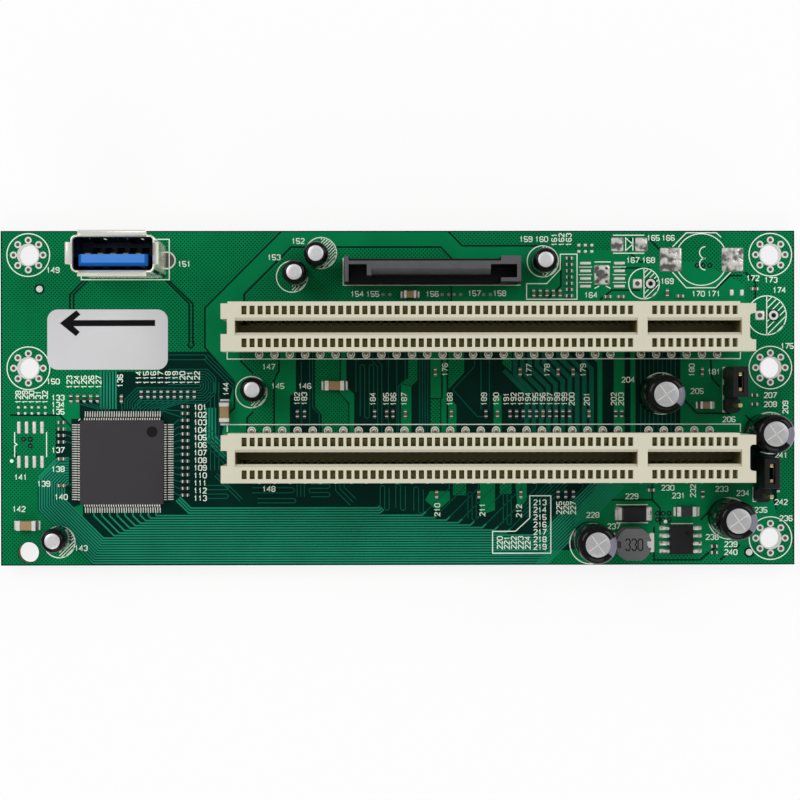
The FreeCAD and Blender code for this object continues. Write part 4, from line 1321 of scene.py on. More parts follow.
GAPS = [
    [(-19.4, 27.7), (-32.1, 15), (-32.1, 8.4), (-27.2, 2.8), (-27.2, -1.6), (-28.6, -3)],
    [(9, 23.1), (7.1, 25.1), (-17.8, 25.1), (-25.6, 17.2), (-25.6, 15.8)],
    [(8.4, 27.7), (10.7, 25.3), (25, 25.3)],
    [(-26.2, 6.2), (-24.1, 4.1)],
    [(-19.8, 7.8), (-19.8, 4.5), (-20.6, 3), (-20.6, -6)],
    [(-24.1, -2.3), (-25.1, -3.3), (-25.1, -6)],
    [(7.3, 7.8), (7.3, -0.1)],
    [(8.2, 7.8), (8.2, -6)],
    [(-52.2, 19.6), (-54.5, 17.2), (-54.5, 14.8)],
    [(-51.5, 19.6), (-53.9, 17.2), (-53.9, 14.8)],
    [(-38, 19.5), (-34.1, 15.7), (-34.1, 9.3), (-33.9, 8.9), (-34.2, 8.4), (-34.6, 8.4), (-34.9, 8.9),
     (-34.7, 9.3), (-34.7, 15.7), (-38.5, 19.5)],
    [(24.6, 16.3), (27.1, 18.6), (27.1, 22.6)],
    [(38.5, 26.3), (42, 26.3), (43.6, 24.6)],
    [(43, 22.6), (40.3, 22.6), (38.3, 24.3)],
    [(57.8, 20.9), (59.5, 19.3), (59.5, 16.3)],
    [(37.1, 21.6), (42, 21.6)],
    [(33.6, 16.3), (35.6, 17.9), (40.3, 17.9)],
    [(52.8, 17.9), (55.3, 20.3), (57.3, 20.3)],
    [(52, 6.8), (52.3, 3.2), (53.6, 1.8)],
    [(46.9, 0.4), (49.8, -2.6), (55.3, -2.6)],
    [(57.8, -2.9), (59.8, -4.9)],
    [(42.3, -14.4), (42.3, -17), (35.3, -17)],
    [(42.3, -17), (43.6, -18.4), (43.6, -21.2)],
    [(50.3, -20.4), (52.3, -18.4), (55.3, -18.4)],
    [(42.6, -21.5), (42.6, -27), (50.3, -27), (53.3, -24.5)],
    [(56.9, -24.5), (53.6, -27)],
    [(-64.5, -2.8), (-56.2, -2.8), (-53.9, -5.1)],
    [(-64, -8.9), (-62.8, -10.1)],
]

# Tracks, as the path of the first one, the count, and the step to the next one on its left
BUNDLE_LOW = -27.4
BUNDLE_PITCH = 0.415
BUNDLE_COUNT = 11
TRACK_SHARE = 0.62
BUNDLES = [
    ([(-54.7, -9.9), (-56.5, -9.9), (-59.6, -13), (-59.6, -18.5), (-50.7, BUNDLE_LOW), (24.9, BUNDLE_LOW),
      (37.6, -14.7)], BUNDLE_COUNT, BUNDLE_PITCH),
    ([(-36.9, -17), (-34.8, -19.1), (-3, -19.1), (-2.4, -18.5)], 3, BUNDLE_PITCH),
    ([(-31.9, -1.6), (-31.9, -7), (-28.9, -10)], 4, 0.5),
    ([(-49.4, -1.8), (-49.4, 4.4)], 6, -0.5),
]

THIN_WIDTH = 0.15
THIN_TRACKS = [
    ([(-42.9, -1.8), (-42.9, -1.3), (-42.4, -0.8), (-31.9, -0.8), (-30.3, 0.9), (-30.3, 3.4), (-31.7, 4.8),
      (-38.2, 4.8)], 7, 0.42),
    ([(-31.7, 7.3), (-26.6, 2.2)], 3, -0.5), ([(-31.2, 2.6), (-31.2, -12)], 3, 0.7),
    ([(-33.6, -6.2), (-28.6, -11.2)], 5, 0.6),
    ([(-16.1, 6), (-16.1, -6)], 1, 0), ([(-14.7, 7.8), (-14.7, -6)], 1, 0),
    ([(-14.2, 7.8), (-14.2, -1.5), (-13.1, -2.7), (-13.1, -6)], 1, 0),
    ([(-7, 7.8), (-7, 1)], 1, 0), ([(-4.2, 7.8), (-4.2, 6.1), (-3.4, 5.2), (-3.4, -6)], 2, 0.7),
    ([(-1.6, 7.8), (-1.6, -6)], 2, 1.4), ([(1.2, 7.8), (1.2, 3), (0.1, 2), (0.1, -6)], 1, 0),
    ([(3.6, 7.8), (3.6, -6)], 4, 0.45),
    ([(12.7, 7.8), (12.7, 5.2), (9.1, 1.4), (13.2, -3.1), (14.6, -3.1)], 1, 0),
    ([(13.8, 7.8), (13.8, -2)], 2, 1.4), ([(40.4, 7.8), (40.4, -6)], 9, 0.72),
    ([(-30.5, -12.9), (-26.3, -17.1)], 2, 0.5), ([(-16.8, -13), (-16.8, -16.4)], 3, 0.6),
    ([(-10.4, -13), (-10.4, -15.4), (-8, -17.8)], 3, 0.7), ([(22, -20.6), (28.2, -14.4)], 6, 0.5),
    ([(37.5, -13.2), (39.5, -15.2), (45, -15.2)], 4, 0.45),
]

STRIP_WIDTH = 0.75
STRIPS = [
    ([(19.5, 7.8), (19.5, 3.9), (22.6, 0.8), (22.6, -6)], 9, 1.2),
    ([(17.6, 4.6), (21.4, 0.8), (21.4, -6)], 1, 0),
]

# Tracks from the lower leads of the bridge chip: places from its corner, then where they turn to the slot
CHIP_TRACK_COUNT = 9
CHIP_TRACK_START = 3.2
CHIP_TRACK_STEP = 1.29
CHIP_TRACK_DROP = 0.9
CHIP_TRACK_TURN = 20
CHIP_TRACK_TURN_STEP = 2
CHIP_TRACK_RISE = 0.6
FIRST_TRACK_TURN = 22.9
SLOT_TURN = -15
SLOT_END = -14

# Tracks from the other leads of the bridge chip: how far away a part may lie, and shares of its place
FAN_SIDE_REACH = 12
FAN_UPPER_REACH = 5
FAN_OVERHANG = 4
FAN_SIDE_SHARE = 0.85
FAN_UPPER_SHARE = 0.55
FAN_STUB = 0.8

# Tracks that run to and fro: start, length of a run, step between runs, count of runs, upright or not
SERPENTINES = [
    ((-6.3, -3), 8.2, 0.75, 4, True), ((-3, -18.3), 3.4, 0.75, 3, True),
    ((-0.4, -18.3), 3.6, 0.8, 3, True), ((2.6, -18.8), 3.6, 0.8, 3, True), ((11.6, -20), 4, 0.7, 3, True),
    ((17.5, -20.8), 4.6, 0.65, 3, True), ((-38.2, 7.2), 6, -0.8, 2, False),
    ((-32, -14.5), 3.4, -0.72, 4, False), ((-24.3, -14.9), 6.6, -0.85, 2, False),
    ((-23.4, -16.7), 6, -0.72, 2, False), ((-14.5, -14.3), 2.8, -0.7, 4, False),
]

# Heights of the copper layers as shares of the copper's rise, so that no two lie level
HATCH_LEVEL = 0.9
GAP_LEVEL = 1.1
TRACK_LEVEL = 1.15
RING_LEVEL = 1.5
LAYER = 0.001
GAP_WIDTH = 0.3

# Rows of printed numbers: place of the first, step to the next, count, upright or not
NumberRow = namedtuple("NumberRow", "x y dx dy count upright", defaults=(0, 0, 1, False))
NUMBER_ROWS = [
    NumberRow(-32.9, -1.5, 0, -1.26, 13), NumberRow(-43.1, 3.4, 1.21, 0, 9, True),
    NumberRow(-54.6, 2.7, 1.21, 0, 5, True), NumberRow(-63.1, 0.2, 1.11, 0, 5, True),
    NumberRow(-56.5, 0.1, 0, -1.16, 3), NumberRow(-46.2, 2.9, upright=True),
    NumberRow(-56.5, -8.6, 0, -3.16, 2), NumberRow(-58.9, -14.2), NumberRow(-56, -16.4),
    NumberRow(-62.7, -13.1, -0.3, -5.3, 2), NumberRow(-52.7, -24.9), NumberRow(-28.6, 1.5, upright=True),
    NumberRow(-20, 2, 4.5, 0, 2), NumberRow(-21.5, 5.2, 0, -20.3, 2), NumberRow(-57.3, 21.3, 0, -18.5, 2),
    NumberRow(-35.5, 22.3), NumberRow(-16.6, 26.1, -4, -2.7, 2), NumberRow(-6.8, 17.3, 2.6, 0, 2),
    NumberRow(5.7, 17.3), NumberRow(12.7, 17.4, 4.2, 0, 2), NumberRow(21.3, 26.4, 2.6, 0, 2),
    NumberRow(26, 26.3, 1.21, 0, 3, True), NumberRow(32.1, 17.1), NumberRow(42.5, 26.6, 2.5, 0, 2),
    NumberRow(39.1, 22.9, 2.6, 0, 2), NumberRow(44.8, 19.4), NumberRow(50, 17.3, 2.6, 0, 2),
    NumberRow(59.1, 19.9, 3, -0.3, 2), NumberRow(63.5, 17.9, 1.3, -9.3, 2),
    NumberRow(7.8, 4.7, upright=True), NumberRow(21.8, 4.6, 3, 0, 2, True),
    NumberRow(30.8, 4.6, 18.1, 0, 2, True), NumberRow(52.6, 4.3), NumberRow(-16.8, -0.1, 1.2, 0, 2, True),
    NumberRow(-4.2, -0.2, upright=True), NumberRow(-2, -0.2, 1.2, 0, 2, True),
    NumberRow(1, -0.2, 7.6, 0, 2, True), NumberRow(14.3, -0.2, 2, 0, 2, True),
    NumberRow(18, -0.2, 1.21, 0, 10, True), NumberRow(31.4, -0.2, upright=True),
    NumberRow(35.9, -0.2, 1.2, 0, 2, True), NumberRow(38.3, 3), NumberRow(49.8, 1.1),
    NumberRow(55.1, -3.6), NumberRow(62, 0.4, 0, -1.5, 2), NumberRow(64.5, -1.6, upright=True),
    NumberRow(6.5, -18.6, 7.5, 0, 2, True), NumberRow(20.1, -18.8, upright=True),
    NumberRow(23.6, -17.4, 0, -1.23, 7), NumberRow(16.9, -24.1, 1.16, 0, 5, True),
    NumberRow(26.8, -18.3, 1.16, 0, 3, True), NumberRow(32.4, -19.5), NumberRow(38.9, -16.4),
    NumberRow(44.9, -15, 1.8, -1.3, 2), NumberRow(49.1, -15.5, upright=True),
    NumberRow(53.9, -15.2, 3.5, -0.7, 2), NumberRow(60.4, -18.7), NumberRow(64.6, -20.1),
    NumberRow(35.9, -21.4), NumberRow(52.3, -23.2), NumberRow(55.4, -24.4, 0, -1.33, 2),
    NumberRow(63.8, -9.6, 0, -7.8, 2),
]
FIRST_NUMBER = 101

# Printed lines, open ones and ones that close on themselves
LINE_WIDTH = 0.16
OPEN_LINES = [
    [(-9.1, 23.3), (-9.1, 18.75), (20.4, 18.75)], [(-28.4, 7.7), (-28.4, 6.5), (57, 6.5), (57, 7.6)],
    [(-28.4, -5.6), (-28.4, -4.4), (57, -4.4), (57, -5.7)], [(35.8, 27.05), (41, 27.05)],
    [(35.8, 24.06), (41, 24.06)], [(36.3, -17.8), (41.6, -17.8)], [(36.3, -20.8), (41.6, -20.8)],
    [(32.7, 22.6), (35.4, 22.6)], [(32.7, 18.2), (33.5, 18.6)], [(35.4, 18.2), (34.6, 18.6)],
    [(-63.7, -5.6), (-63.7, -7.4), (-63.3, -7.65), (-63.7, -7.9), (-63.7, -9.75)],
    [(-58.4, -5.6), (-58.4, -9.75)], [(54.8, 5.0), (54.1, 5.0), (54.1, -2.4), (56.1, -2.4)],
    [(59.1, -14.9), (59.1, -17.3), (59.6, -17.3)], [(45.7, 25.1), (48, 27.45), (53, 27.45), (53.8, 26.7)],
    [(45.7, 20.9), (48, 18.3), (52.9, 18.3), (55.4, 20.9)], [(39.1, 26.6), (39.1, 24.5)],
    [(-52.8, -3.4), (-53.1, -3.7)], [(45.4, -20.95), (49.1, -20.95)],
]
CLOSED_LINES = [
    [(-52.6, 26.4), (-38, 26.4), (-38, 19.7), (-52.6, 19.7)],
    [(15.7, -22.2), (19.5, -22.2), (21.9, -20), (21.9, -16.3), (25.4, -16.3), (25.4, -25.85), (15.7, -25.85)],
    [(21.4, 19), (24.75, 19), (27, 21.4), (27, 23.9), (29.8, 23.9), (29.8, 16.4), (21.4, 16.4)],
    [(37.9, 26.6), (37.9, 24.5), (39.1, 25.55)],
]

# Printed rings round the holes and cans, and the empty can places as (place, ring, half of the pad spacing)
HOLE_RING = 3.55
LARGE_RING = 3.45
SMALL_RING = 2.6
LARGE_CANS = [(43.8, 0.7), (61.9, -5.9), (55.1, -20.1), (32.0, -24.2)]
SMALL_CANS = [(-12.8, 24.1), (-17.6, 20.2), (-24.4, 1.0), (24.1, 22.7), (-56.3, -23.9)]
CAN_PLACES = [((40.95, 19.0), 2.55, 1.1), ((61.4, 13.7), 3.25, 1.15)]
FILL_LINE = 0.14
FILL_STEP = 0.4
PLACE_FILL_SHARE = 0.24

# The empty inductor place and its printed sign of two half turns
COIL_PLACE = (50.5, 23.0)
COIL_RING = 4.3
COIL_SIGN = (0.7, 0.2)
COIL_SIGN_RISE = 0.95

# An empty chip place: its pads, and the printed lines between them
CHIP_LEFT = 31.2
CHIP_SPAN = 5.65
CHIP_ROW = 22.4
CHIP_PITCH = 1.28
CHIP_LINE_HALF = 1.1
THIN_LINE_SHARE = 0.7
PIN_DOTS = [(44.5, -20.6), (-64.2, -10.4)]
PIN_DOT = 0.3

# Rings and discs as radii. A mounting hole has a tinned collar and a circle of eyelets round it.
COLLAR = 0.17
PLATING = 0.03
EYELET_CIRCLE = 2.45
EYELET_COUNT = 8
EYELET = (0.58, 0.3)
UNDER_EYELET = (0.6, 0.2)
FIDUCIALS = [(-59.55, 18.15), (58.45, -25.75)]
FIDUCIAL = (0.85, 0.55)
VIAS = [(-62.2, -6.8), (-61.1, -6.8), (-61.1, -7.9), (49.8, 22), (50.8, 22), (51.9, 22)]
VIAS += [(43.15 + 0.97 * column, -19.25 - 1.05 * row) for column in range(3) for row in range(2)]
VIA = (0.42, 0.2)
CAN_PAD = 1.6
CAN_RING = (1.02, 0.8, 0.4)
LOCK_HOLE = (-38.4, 22.9)
LOCK_RING = (1.5, 1.25)

# Pads: how much higher than the print they lie, and the shape of the solder on them
PAD_LEVEL = 1.4
PAD_RIM = 0.08
PAD_RIM_SHARE = 0.14
PAD_CORNER = 0.2
RIM_DROP = 0.02
CROWN_INSET = 2.2
CROWN_RISE = 0.03
DRILL_RISE = 0.035
DISC_RISE = 0.04
SMALL_PART_PADS = (0.52, 0.42, 0.46)
LARGE_PART_PADS = (0.3, 0.62)
LEAD_PAD = (2.2, 0.35)
BRIDGE_PAD = (0.8, 0.2)
BRIDGE_PAD_STEP = 0.05

# Grids of bare pads: place of the first, steps to the next, columns, rows, size and finish
PadGrid = namedtuple("PadGrid", "x y dx dy columns rows width height coat", defaults=("tinned",))
PAD_GRIDS = [
    PadGrid(36.1, middle("inductor_core")[1], 6.1, 0, 2, 1, 0.95, 3.3),
    PadGrid(45.4, 23.0, 10.3, 0, 2, 1, 3.65, 3.95, "reflowed"),
    PadGrid(36.5, 25.5, 4.0, 0, 2, 1, 2.1, 2.35, "reflowed"),
    PadGrid(33.95, 20.45, 0, 0, 1, 1, 2.65, 3.3, "reflowed"),
    PadGrid(CHIP_LEFT, CHIP_ROW, CHIP_SPAN, -CHIP_PITCH, 2, 4, 1.9, 0.55),
    PadGrid(-63.0, -4.85, CHIP_PITCH, -5.7, 4, 2, 0.65, 2.1),
    PadGrid(-63.05, -1.5, 1.11, -1.0, 5, 2, 0.5, 0.45),
    PadGrid(30.1, 25.4, 1.08, -1.05, 3, 2, 0.6, 0.55),
    PadGrid(55.55, 17.5, 1.7, 0, 2, 1, 0.7, 1.1),
]
PAD_GRIDS += [PadGrid(x - 0.55, 17.2, 1.1, 0, 2, 1, 0.5, 0.5, "dull_solder") for x in (-1.9, 7.9, 9.9, 14.8)]
PAD_DRILLS = [(33.95 + 0.75 * column, 20.45 + 1.1 * row) for column in (-1, 1) for row in (-1, 0, 1)]
PAD_DRILL = 0.25

# Digits as strokes between points of a grid that is four wide and six high
STROKES = {
    "0": "10 30 41 45 36 16 05 01 10", "1": "14 26 20", "2": "05 16 36 45 44 00 40",
    "3": "05 16 36 45 44 33 42 41 30 10 01", "4": "30 36 02 42", "5": "46 06 03 33 42 41 30 10 01",
    "6": "45 36 16 05 01 10 30 41 42 33 03", "7": "06 46 10",
    "8": "13 04 05 16 36 45 44 33 42 41 30 10 01 02 13 33", "9": "01 10 30 41 45 36 16 05 04 13 43",
}
DIGIT_HEIGHT = 6
DIGIT_STEP = 5.4
DIGIT_GAP = 1.4
STROKE_WIDTH = 1.05
NUMBER_HEIGHT = 0.83


def number(shape, value, place, height, low, high, upright=False, narrow=1.0):
    """A whole number in plain strokes, centred on its place, level or reading upwards."""
    unit = height / DIGIT_HEIGHT
    digits = str(value)
    start = -(len(digits) * DIGIT_STEP - DIGIT_GAP) / 2
    for i, digit in enumerate(digits):
        path = []
        for mark in STROKES[digit].split():
            across = (start + i * DIGIT_STEP + int(mark[0])) * unit * narrow
            up = (int(mark[1]) - DIGIT_HEIGHT / 2) * unit
            dx, dy = (-up, across) if upright else (across, up)
            path.append((place[0] + dx, place[1] + dy))
        shape.ribbon(path, unit * STROKE_WIDTH * narrow, low, high)


def on_board(outline):
    """Keeps an outline inside the edge of the board."""
    low, high = corners("circuit_board")
    return [(min(max(x, low[0] + EDGE_MARGIN), high[0] - EDGE_MARGIN),
             min(max(y, low[1] + EDGE_MARGIN), high[1] - EDGE_MARGIN)) for x, y in outline]


def board_holes():
    return [(hole, HOLE_RADIUS + HOLE_CLEARANCE) for hole in HOLES + [PLAIN_HOLE]]


def serpentine(start, run, step, count, upright):
    """A track that runs to and fro, with a half circle at each turn."""
    path = []
    for i in range(count):
        near, far = (0, run) if i % 2 == 0 else (run, 0)
        path += [(near, i * step), (far, i * step)]
        if i < count - 1:
            bulge = math.copysign(step / 2, far - near)
            turns = [math.pi * k / 6 for k in range(1, 6)]
            path += [(far + bulge * math.sin(a), (i + 0.5 - math.cos(a) / 2) * step) for a in turns]
    return [(start[0] + b, start[1] + a) if upright else (start[0] + a, start[1] + b) for a, b in path]


def chip_tracks():
    """Tracks that leave the lower leads of the bridge chip and join the bundle along the board's edge."""
    left, lowest, _ = corners("bridge_chip_leads")[0]
    bend = lowest - CHIP_TRACK_DROP
    paths = []
    for i in range(CHIP_TRACK_COUNT):
        x = left + CHIP_TRACK_START + CHIP_TRACK_STEP * i
        y = BUNDLE_LOW + (BUNDLE_COUNT + i) * BUNDLE_PITCH
        turn = CHIP_TRACK_TURN - CHIP_TRACK_TURN_STEP * i if i else FIRST_TRACK_TURN
        paths.append([(x, lowest), (x, bend), (x + bend - y, y), (turn, y),
                      (turn + CHIP_TRACK_RISE, y + CHIP_TRACK_RISE)])
    return paths


def slot_tracks():
    """Thin tracks that take the tracks of the chip on to the lower slot."""
    ends = [path[-1] for path in chip_tracks()]
    paths = []
    for x, y in ends:
        turn = x + SLOT_TURN - y
        paths.append([(x, y), (turn, SLOT_TURN), (turn, SLOT_END)])
    return paths


def fan_out():
    """Short tracks from the leads of the bridge chip to the chip parts round it."""
    low, high = corners("bridge_chip_leads")
    x, y, _ = middle("bridge_chip_leads")
    paths = []
    for part_low, part_high in solids("chip_resistors") + solids("chip_capacitors"):
        part_x, part_y, _ = centre(part_low, part_high)
        if low[1] < part_y < high[1] and abs(part_x - x) < FAN_SIDE_REACH:
            edge = high[0] if part_x > x else low[0]
            lead = y + (part_y - y) * FAN_SIDE_SHARE
            paths.append([(edge, lead), ((edge + part_x) / 2, part_y), (part_x, part_y)])
        elif low[0] < part_x < high[0] + FAN_OVERHANG and 0 < part_y - high[1] < FAN_UPPER_REACH:
            lead = x + (part_x - x) * FAN_UPPER_SHARE
            paths.append([(lead, high[1]), (lead, high[1] + FAN_STUB), (part_x, part_y - FAN_STUB),
                          (part_x, part_y)])
    return paths


class CARD_OT_copper(CardOperator, bpy.types.Operator):
    """Lay the coated copper: hatched and solid areas, the gaps between them and bundles of tracks"""

    bl_idname = "card.copper"
    bl_label = "Copper"

    def build(self, context):
        rise = board_look().copper_rise / MM
        self.areas(rise)
        self.tracks(DECK + rise * TRACK_LEVEL)

    def areas(self, rise):
        shape = Shape("hatch_mask")
        for outline in HATCHED:
            shape.sheet(on_board(outline), board_holes(), DECK - BEDDING, DECK + rise * HATCH_LEVEL)
        for outline in SOLID:
            shape.sheet(on_board(outline), board_holes(), DECK - BEDDING, DECK + rise, "pour_mask")
        for path in GAPS:
            shape.ribbon(path, GAP_WIDTH, DECK, DECK + rise * GAP_LEVEL, "gap_mask")
        shape.piece("copper_areas")

    def tracks(self, top):
        shape = Shape("track_mask")
        for path in chip_tracks():
            shape.ribbon(path, BUNDLE_PITCH * TRACK_SHARE, DECK, top)
        for path, count, step in BUNDLES:
            self.bundle(shape, path, count, step, abs(step) * TRACK_SHARE, top)
        for rows, width in ((THIN_TRACKS, THIN_WIDTH), (STRIPS, STRIP_WIDTH)):
            for path, count, step in rows:
                self.bundle(shape, path, count, step, width, top + LAYER, "thin_track_mask")
        for path in fan_out() + slot_tracks() + [serpentine(*place) for place in SERPENTINES]:
            shape.ribbon(path, THIN_WIDTH, DECK, top + 2 * LAYER, "thin_track_mask")
        shape.piece("copper_tracks")

    def bundle(self, shape, path, count, step, width, top, coat=None):
        for i in range(count):
            shape.ribbon(beside(path, i * step), width, DECK, top, coat)


class CARD_OT_pads(CardOperator, bpy.types.Operator):
    """Lay the tinned pads, rings and soldered places on the top of the board"""

    bl_idname = "card.pads"
    bl_label = "Pads"

    def build(self, context):
        self.shape = Shape("tinned")
        self.top = DECK + board_look().print_rise / MM * PAD_LEVEL
        self.mounting_rings()
        self.part_pads()
        self.bridge_pads()
        self.empty_places()
        self.vias()
        self.shape.piece("board_pads")

    def pad(self, x, y, width, height, coat=None):
        """A flat pad with a low crown of solder inset from its rim; the rim is darker solder, a painted
        shade.
        """
        short = min(width, height)
        rim = min(PAD_RIM, short * PAD_RIM_SHARE)

        def outline(inset, z):
            half_x, half_y = width / 2 - inset, height / 2 - inset
            radius = min(PAD_CORNER, (short / 2 - inset) / 2)
            return raised(round_rectangle(x - half_x, x + half_x, y - half_y, y + half_y, radius, 2), z)

        # The rim in darker solder is painted shade.
        self.shape.loft([outline(0, DECK), outline(0, self.top - RIM_DROP)], "dull_solder")
        crown = outline(rim * CROWN_INSET, self.top + CROWN_RISE)
        self.shape.loft([outline(rim, DECK), outline(rim, self.top), crown], coat)

    def ring(self, place, outer, inner):
        self.shape.ring(place, outer, inner, 24, DECK, self.top)
        self.shape.disc(place, inner, 24, DECK, DECK + DISC_RISE, "drilled")

    def hole(self, place, radius):
        self.shape.disc(place, radius, 16, DECK, self.top + DRILL_RISE, "drilled")

    def mounting_rings(self):
        for hole in HOLES:
            self.shape.ring(hole, HOLE_RADIUS + COLLAR, HOLE_RADIUS, 48, DECK, self.top)
            self.shape.ring(hole, HOLE_RADIUS + BEDDING, HOLE_RADIUS - PLATING, 48, UNDERSIDE, self.top)
            for place in circle(hole, EYELET_CIRCLE, EYELET_COUNT):
                self.ring(place, *EYELET)
        for place in FIDUCIALS:
            self.shape.disc(place, FIDUCIAL[0], 24, DECK, DECK + DISC_RISE, "gap_mask")
            self.shape.disc(place, FIDUCIAL[1], 24, DECK, self.top)

    def part_pads(self):
        for low, high in solids("chip_resistors") + solids("chip_capacitors"):
            self.end_pads(low, high, *SMALL_PART_PADS, "dull_solder")
        for node in large_chip_parts():
            low, high = corners(node)
            width, length, _ = extent(low, high)
            step, run = LARGE_PART_PADS
            self.end_pads(low, high, max(width, length) / 2 + step, run, min(width, length))
        for low, high in solids("regulator_leads") + solids("diode_leads"):
            x, y, _ = centre(low, high)
            self.pad(x, y, LEAD_PAD[0], high[1] - low[1] + LEAD_PAD[1], "reflowed")

    def end_pads(self, low, high, reach, run, width, coat=None):
        """A pad at each end of a chip part, which lies level or upright."""
        x, y, _ = centre(low, high)
        size_x, size_y, _ = extent(low, high)
        for side in (-reach, reach):
            if size_x > size_y:
                self.pad(x + side, y, run, width, coat)
            else:
                self.pad(x, y + side, width, run, coat)

    def bridge_pads(self):
        """A narrow pad under each lead of the bridge chip."""
        reach = extent(*corners("bridge_chip_leads"))[0] / 2 + BRIDGE_PAD_STEP
        for (dx, dy), (x, y) in bridge_leads():
            width, height = BRIDGE_PAD if dx else reversed(BRIDGE_PAD)
            self.pad(x + dx * reach, y + dy * reach, width, height)

    def empty_places(self):
        for grid in PAD_GRIDS:
            for column in range(grid.columns):
                for row in range(grid.rows):
                    place = (grid.x + grid.dx * column, grid.y + grid.dy * row)
                    self.pad(*place, grid.width, grid.height, grid.coat)
        for place in PAD_DRILLS:
            self.hole(place, PAD_DRILL)
        clear, outer, inner = CAN_RING
        for (x, y), _, spread in CAN_PLACES:
            self.pad(x - spread, y, CAN_PAD, CAN_PAD)
            self.hole((x - spread, y), inner)
            self.shape.disc((x + spread, y), clear, 32, DECK, self.top - BEDDING, "gap_mask")
            self.ring((x + spread, y), outer, inner)
        self.ring(LOCK_HOLE, *LOCK_RING)

    def vias(self):
        for place in VIAS:
            self.shape.disc(place, VIA[0], 16, DECK, DECK + DISC_RISE, "gap_mask")
            self.hole(place, VIA[1])


class CARD_OT_print(CardOperator, bpy.types.Operator):
    """Print the rings, outlines and plain running numbers on the board"""

    bl_idname = "card.print"
    bl_label = "Print"

    def build(self, context):
        self.shape = Shape("screen_print")
        self.top = DECK + board_look().print_rise / MM
        self.rings()
        self.empty_places()
        for path in OPEN_LINES:
            self.line(path)
        for path in CLOSED_LINES:
            self.line(path, closed=True)
        self.numbers()
        self.shape.piece("board_print")

    def line(self, path, width=LINE_WIDTH, closed=False):
        self.shape.ribbon(path, width, DECK, self.top, closed=closed)

    def ring(self, place, radius):
        self.shape.ring(place, radius + LINE_WIDTH / 2, radius - LINE_WIDTH / 2, 48, DECK, self.top)

    def hatched_ring(self, place, radius, step):
        """A ring whose right half is filled with slanted lines."""
        self.ring(place, radius)
        count = int(radius / step)
        for i in range(-count, count + 1):
            offset = i * step
            reach = math.sqrt(max(radius ** 2 - offset ** 2, 0))
            start = max(-reach, -offset)
            if reach - start > step:
                ends = [((offset + run) / math.sqrt(2), (run - offset) / math.sqrt(2))
                        for run in (start, reach)]
                self.line([(place[0] + x, place[1] + y) for x, y in ends], FILL_LINE)

    def rings(self):
        for hole in HOLES:
            self.ring(hole, HOLE_RING)
        for place in LARGE_CANS:
            self.hatched_ring(place, LARGE_RING, FILL_STEP)
        for place in SMALL_CANS:
            self.hatched_ring(place, SMALL_RING, FILL_STEP)
        for (x, y), radius, _ in CAN_PLACES:
            self.hatched_ring((x, y), radius, radius * PLACE_FILL_SHARE)
            self.line([(x, y + radius), (x, y - radius)])
        for dot in PIN_DOTS:
            self.shape.disc(dot, PIN_DOT, 16, DECK, self.top)

    def empty_places(self):
        self.ring(COIL_PLACE, COIL_RING)
        x, y = COIL_PLACE[0] + COIL_SIGN[0], COIL_PLACE[1] + COIL_SIGN[1]
        for rise in (COIL_SIGN_RISE, -COIL_SIGN_RISE):
            turns = [math.pi * k / 8 for k in range(9)]
            self.line([(x - math.sin(a), y + rise + math.cos(a)) for a in turns])
        for i in range(3):
            y = CHIP_ROW - CHIP_PITCH * (i + 0.5)
            for x in (CHIP_LEFT, CHIP_LEFT + CHIP_SPAN):
                self.line([(x - CHIP_LINE_HALF, y), (x + CHIP_LINE_HALF, y)], LINE_WIDTH * THIN_LINE_SHARE)

    def numbers(self):
        value = FIRST_NUMBER
        for row in NUMBER_ROWS:
            for i in range(row.count):
                place = (row.x + row.dx * i, row.y + row.dy * i)
                number(self.shape, value, place, NUMBER_HEIGHT, DECK, self.top, row.upright)
                value += 1


TAIL_STRIP_WIDTH = 1.9
TAIL_STRIP_OVERHANG = 1


class CARD_OT_underside(CardOperator, bpy.types.Operator):
    """Lay the copper and pads of the board's underside"""

    bl_idname = "card.underside"
    bl_label = "Underside"

    def build(self, context):
        rise = board_look().copper_rise / MM
        self.copper(rise)
        self.pads(UNDERSIDE - rise * RING_LEVEL)

    def copper(self, rise):
        low, high = corners("circuit_board")
        shape = Shape("hatch_mask")
        shape.sheet(on_board(rectangle(low[0], high[0], low[1], high[1])), board_holes(),
                    UNDERSIDE - rise * HATCH_LEVEL, UNDERSIDE + BEDDING)
        for name in TWINS:
            slot_y = middle(name + "_slot_housing")[1]
            slot_low, slot_high = corners(name + "_slot_contacts")
            outer_row = slot_high[1] - slot_y
            start, end = slot_low[0] - TAIL_STRIP_OVERHANG, slot_high[0] + TAIL_STRIP_OVERHANG
            for row in (-outer_row, -outer_row / 3, outer_row / 3, outer_row):
                shape.ribbon([(start, slot_y + row), (end, slot_y + row)], TAIL_STRIP_WIDTH,
                             UNDERSIDE - rise, UNDERSIDE, "gap_mask")
        shape.piece("underside_copper")

    def pads(self, low):
        rings = Shape("tinned")
        for hole in HOLES:
            rings.ring(hole, HOLE_RADIUS + COLLAR, HOLE_RADIUS, 48, low, UNDERSIDE)
            for place in circle(hole, EYELET_CIRCLE, EYELET_COUNT):
                rings.ring(place, *UNDER_EYELET, 24, low, UNDERSIDE)
        rings.piece("underside_pads")


# Stage. The floor and lamps are in metres. The camera was fitted to the photograph.

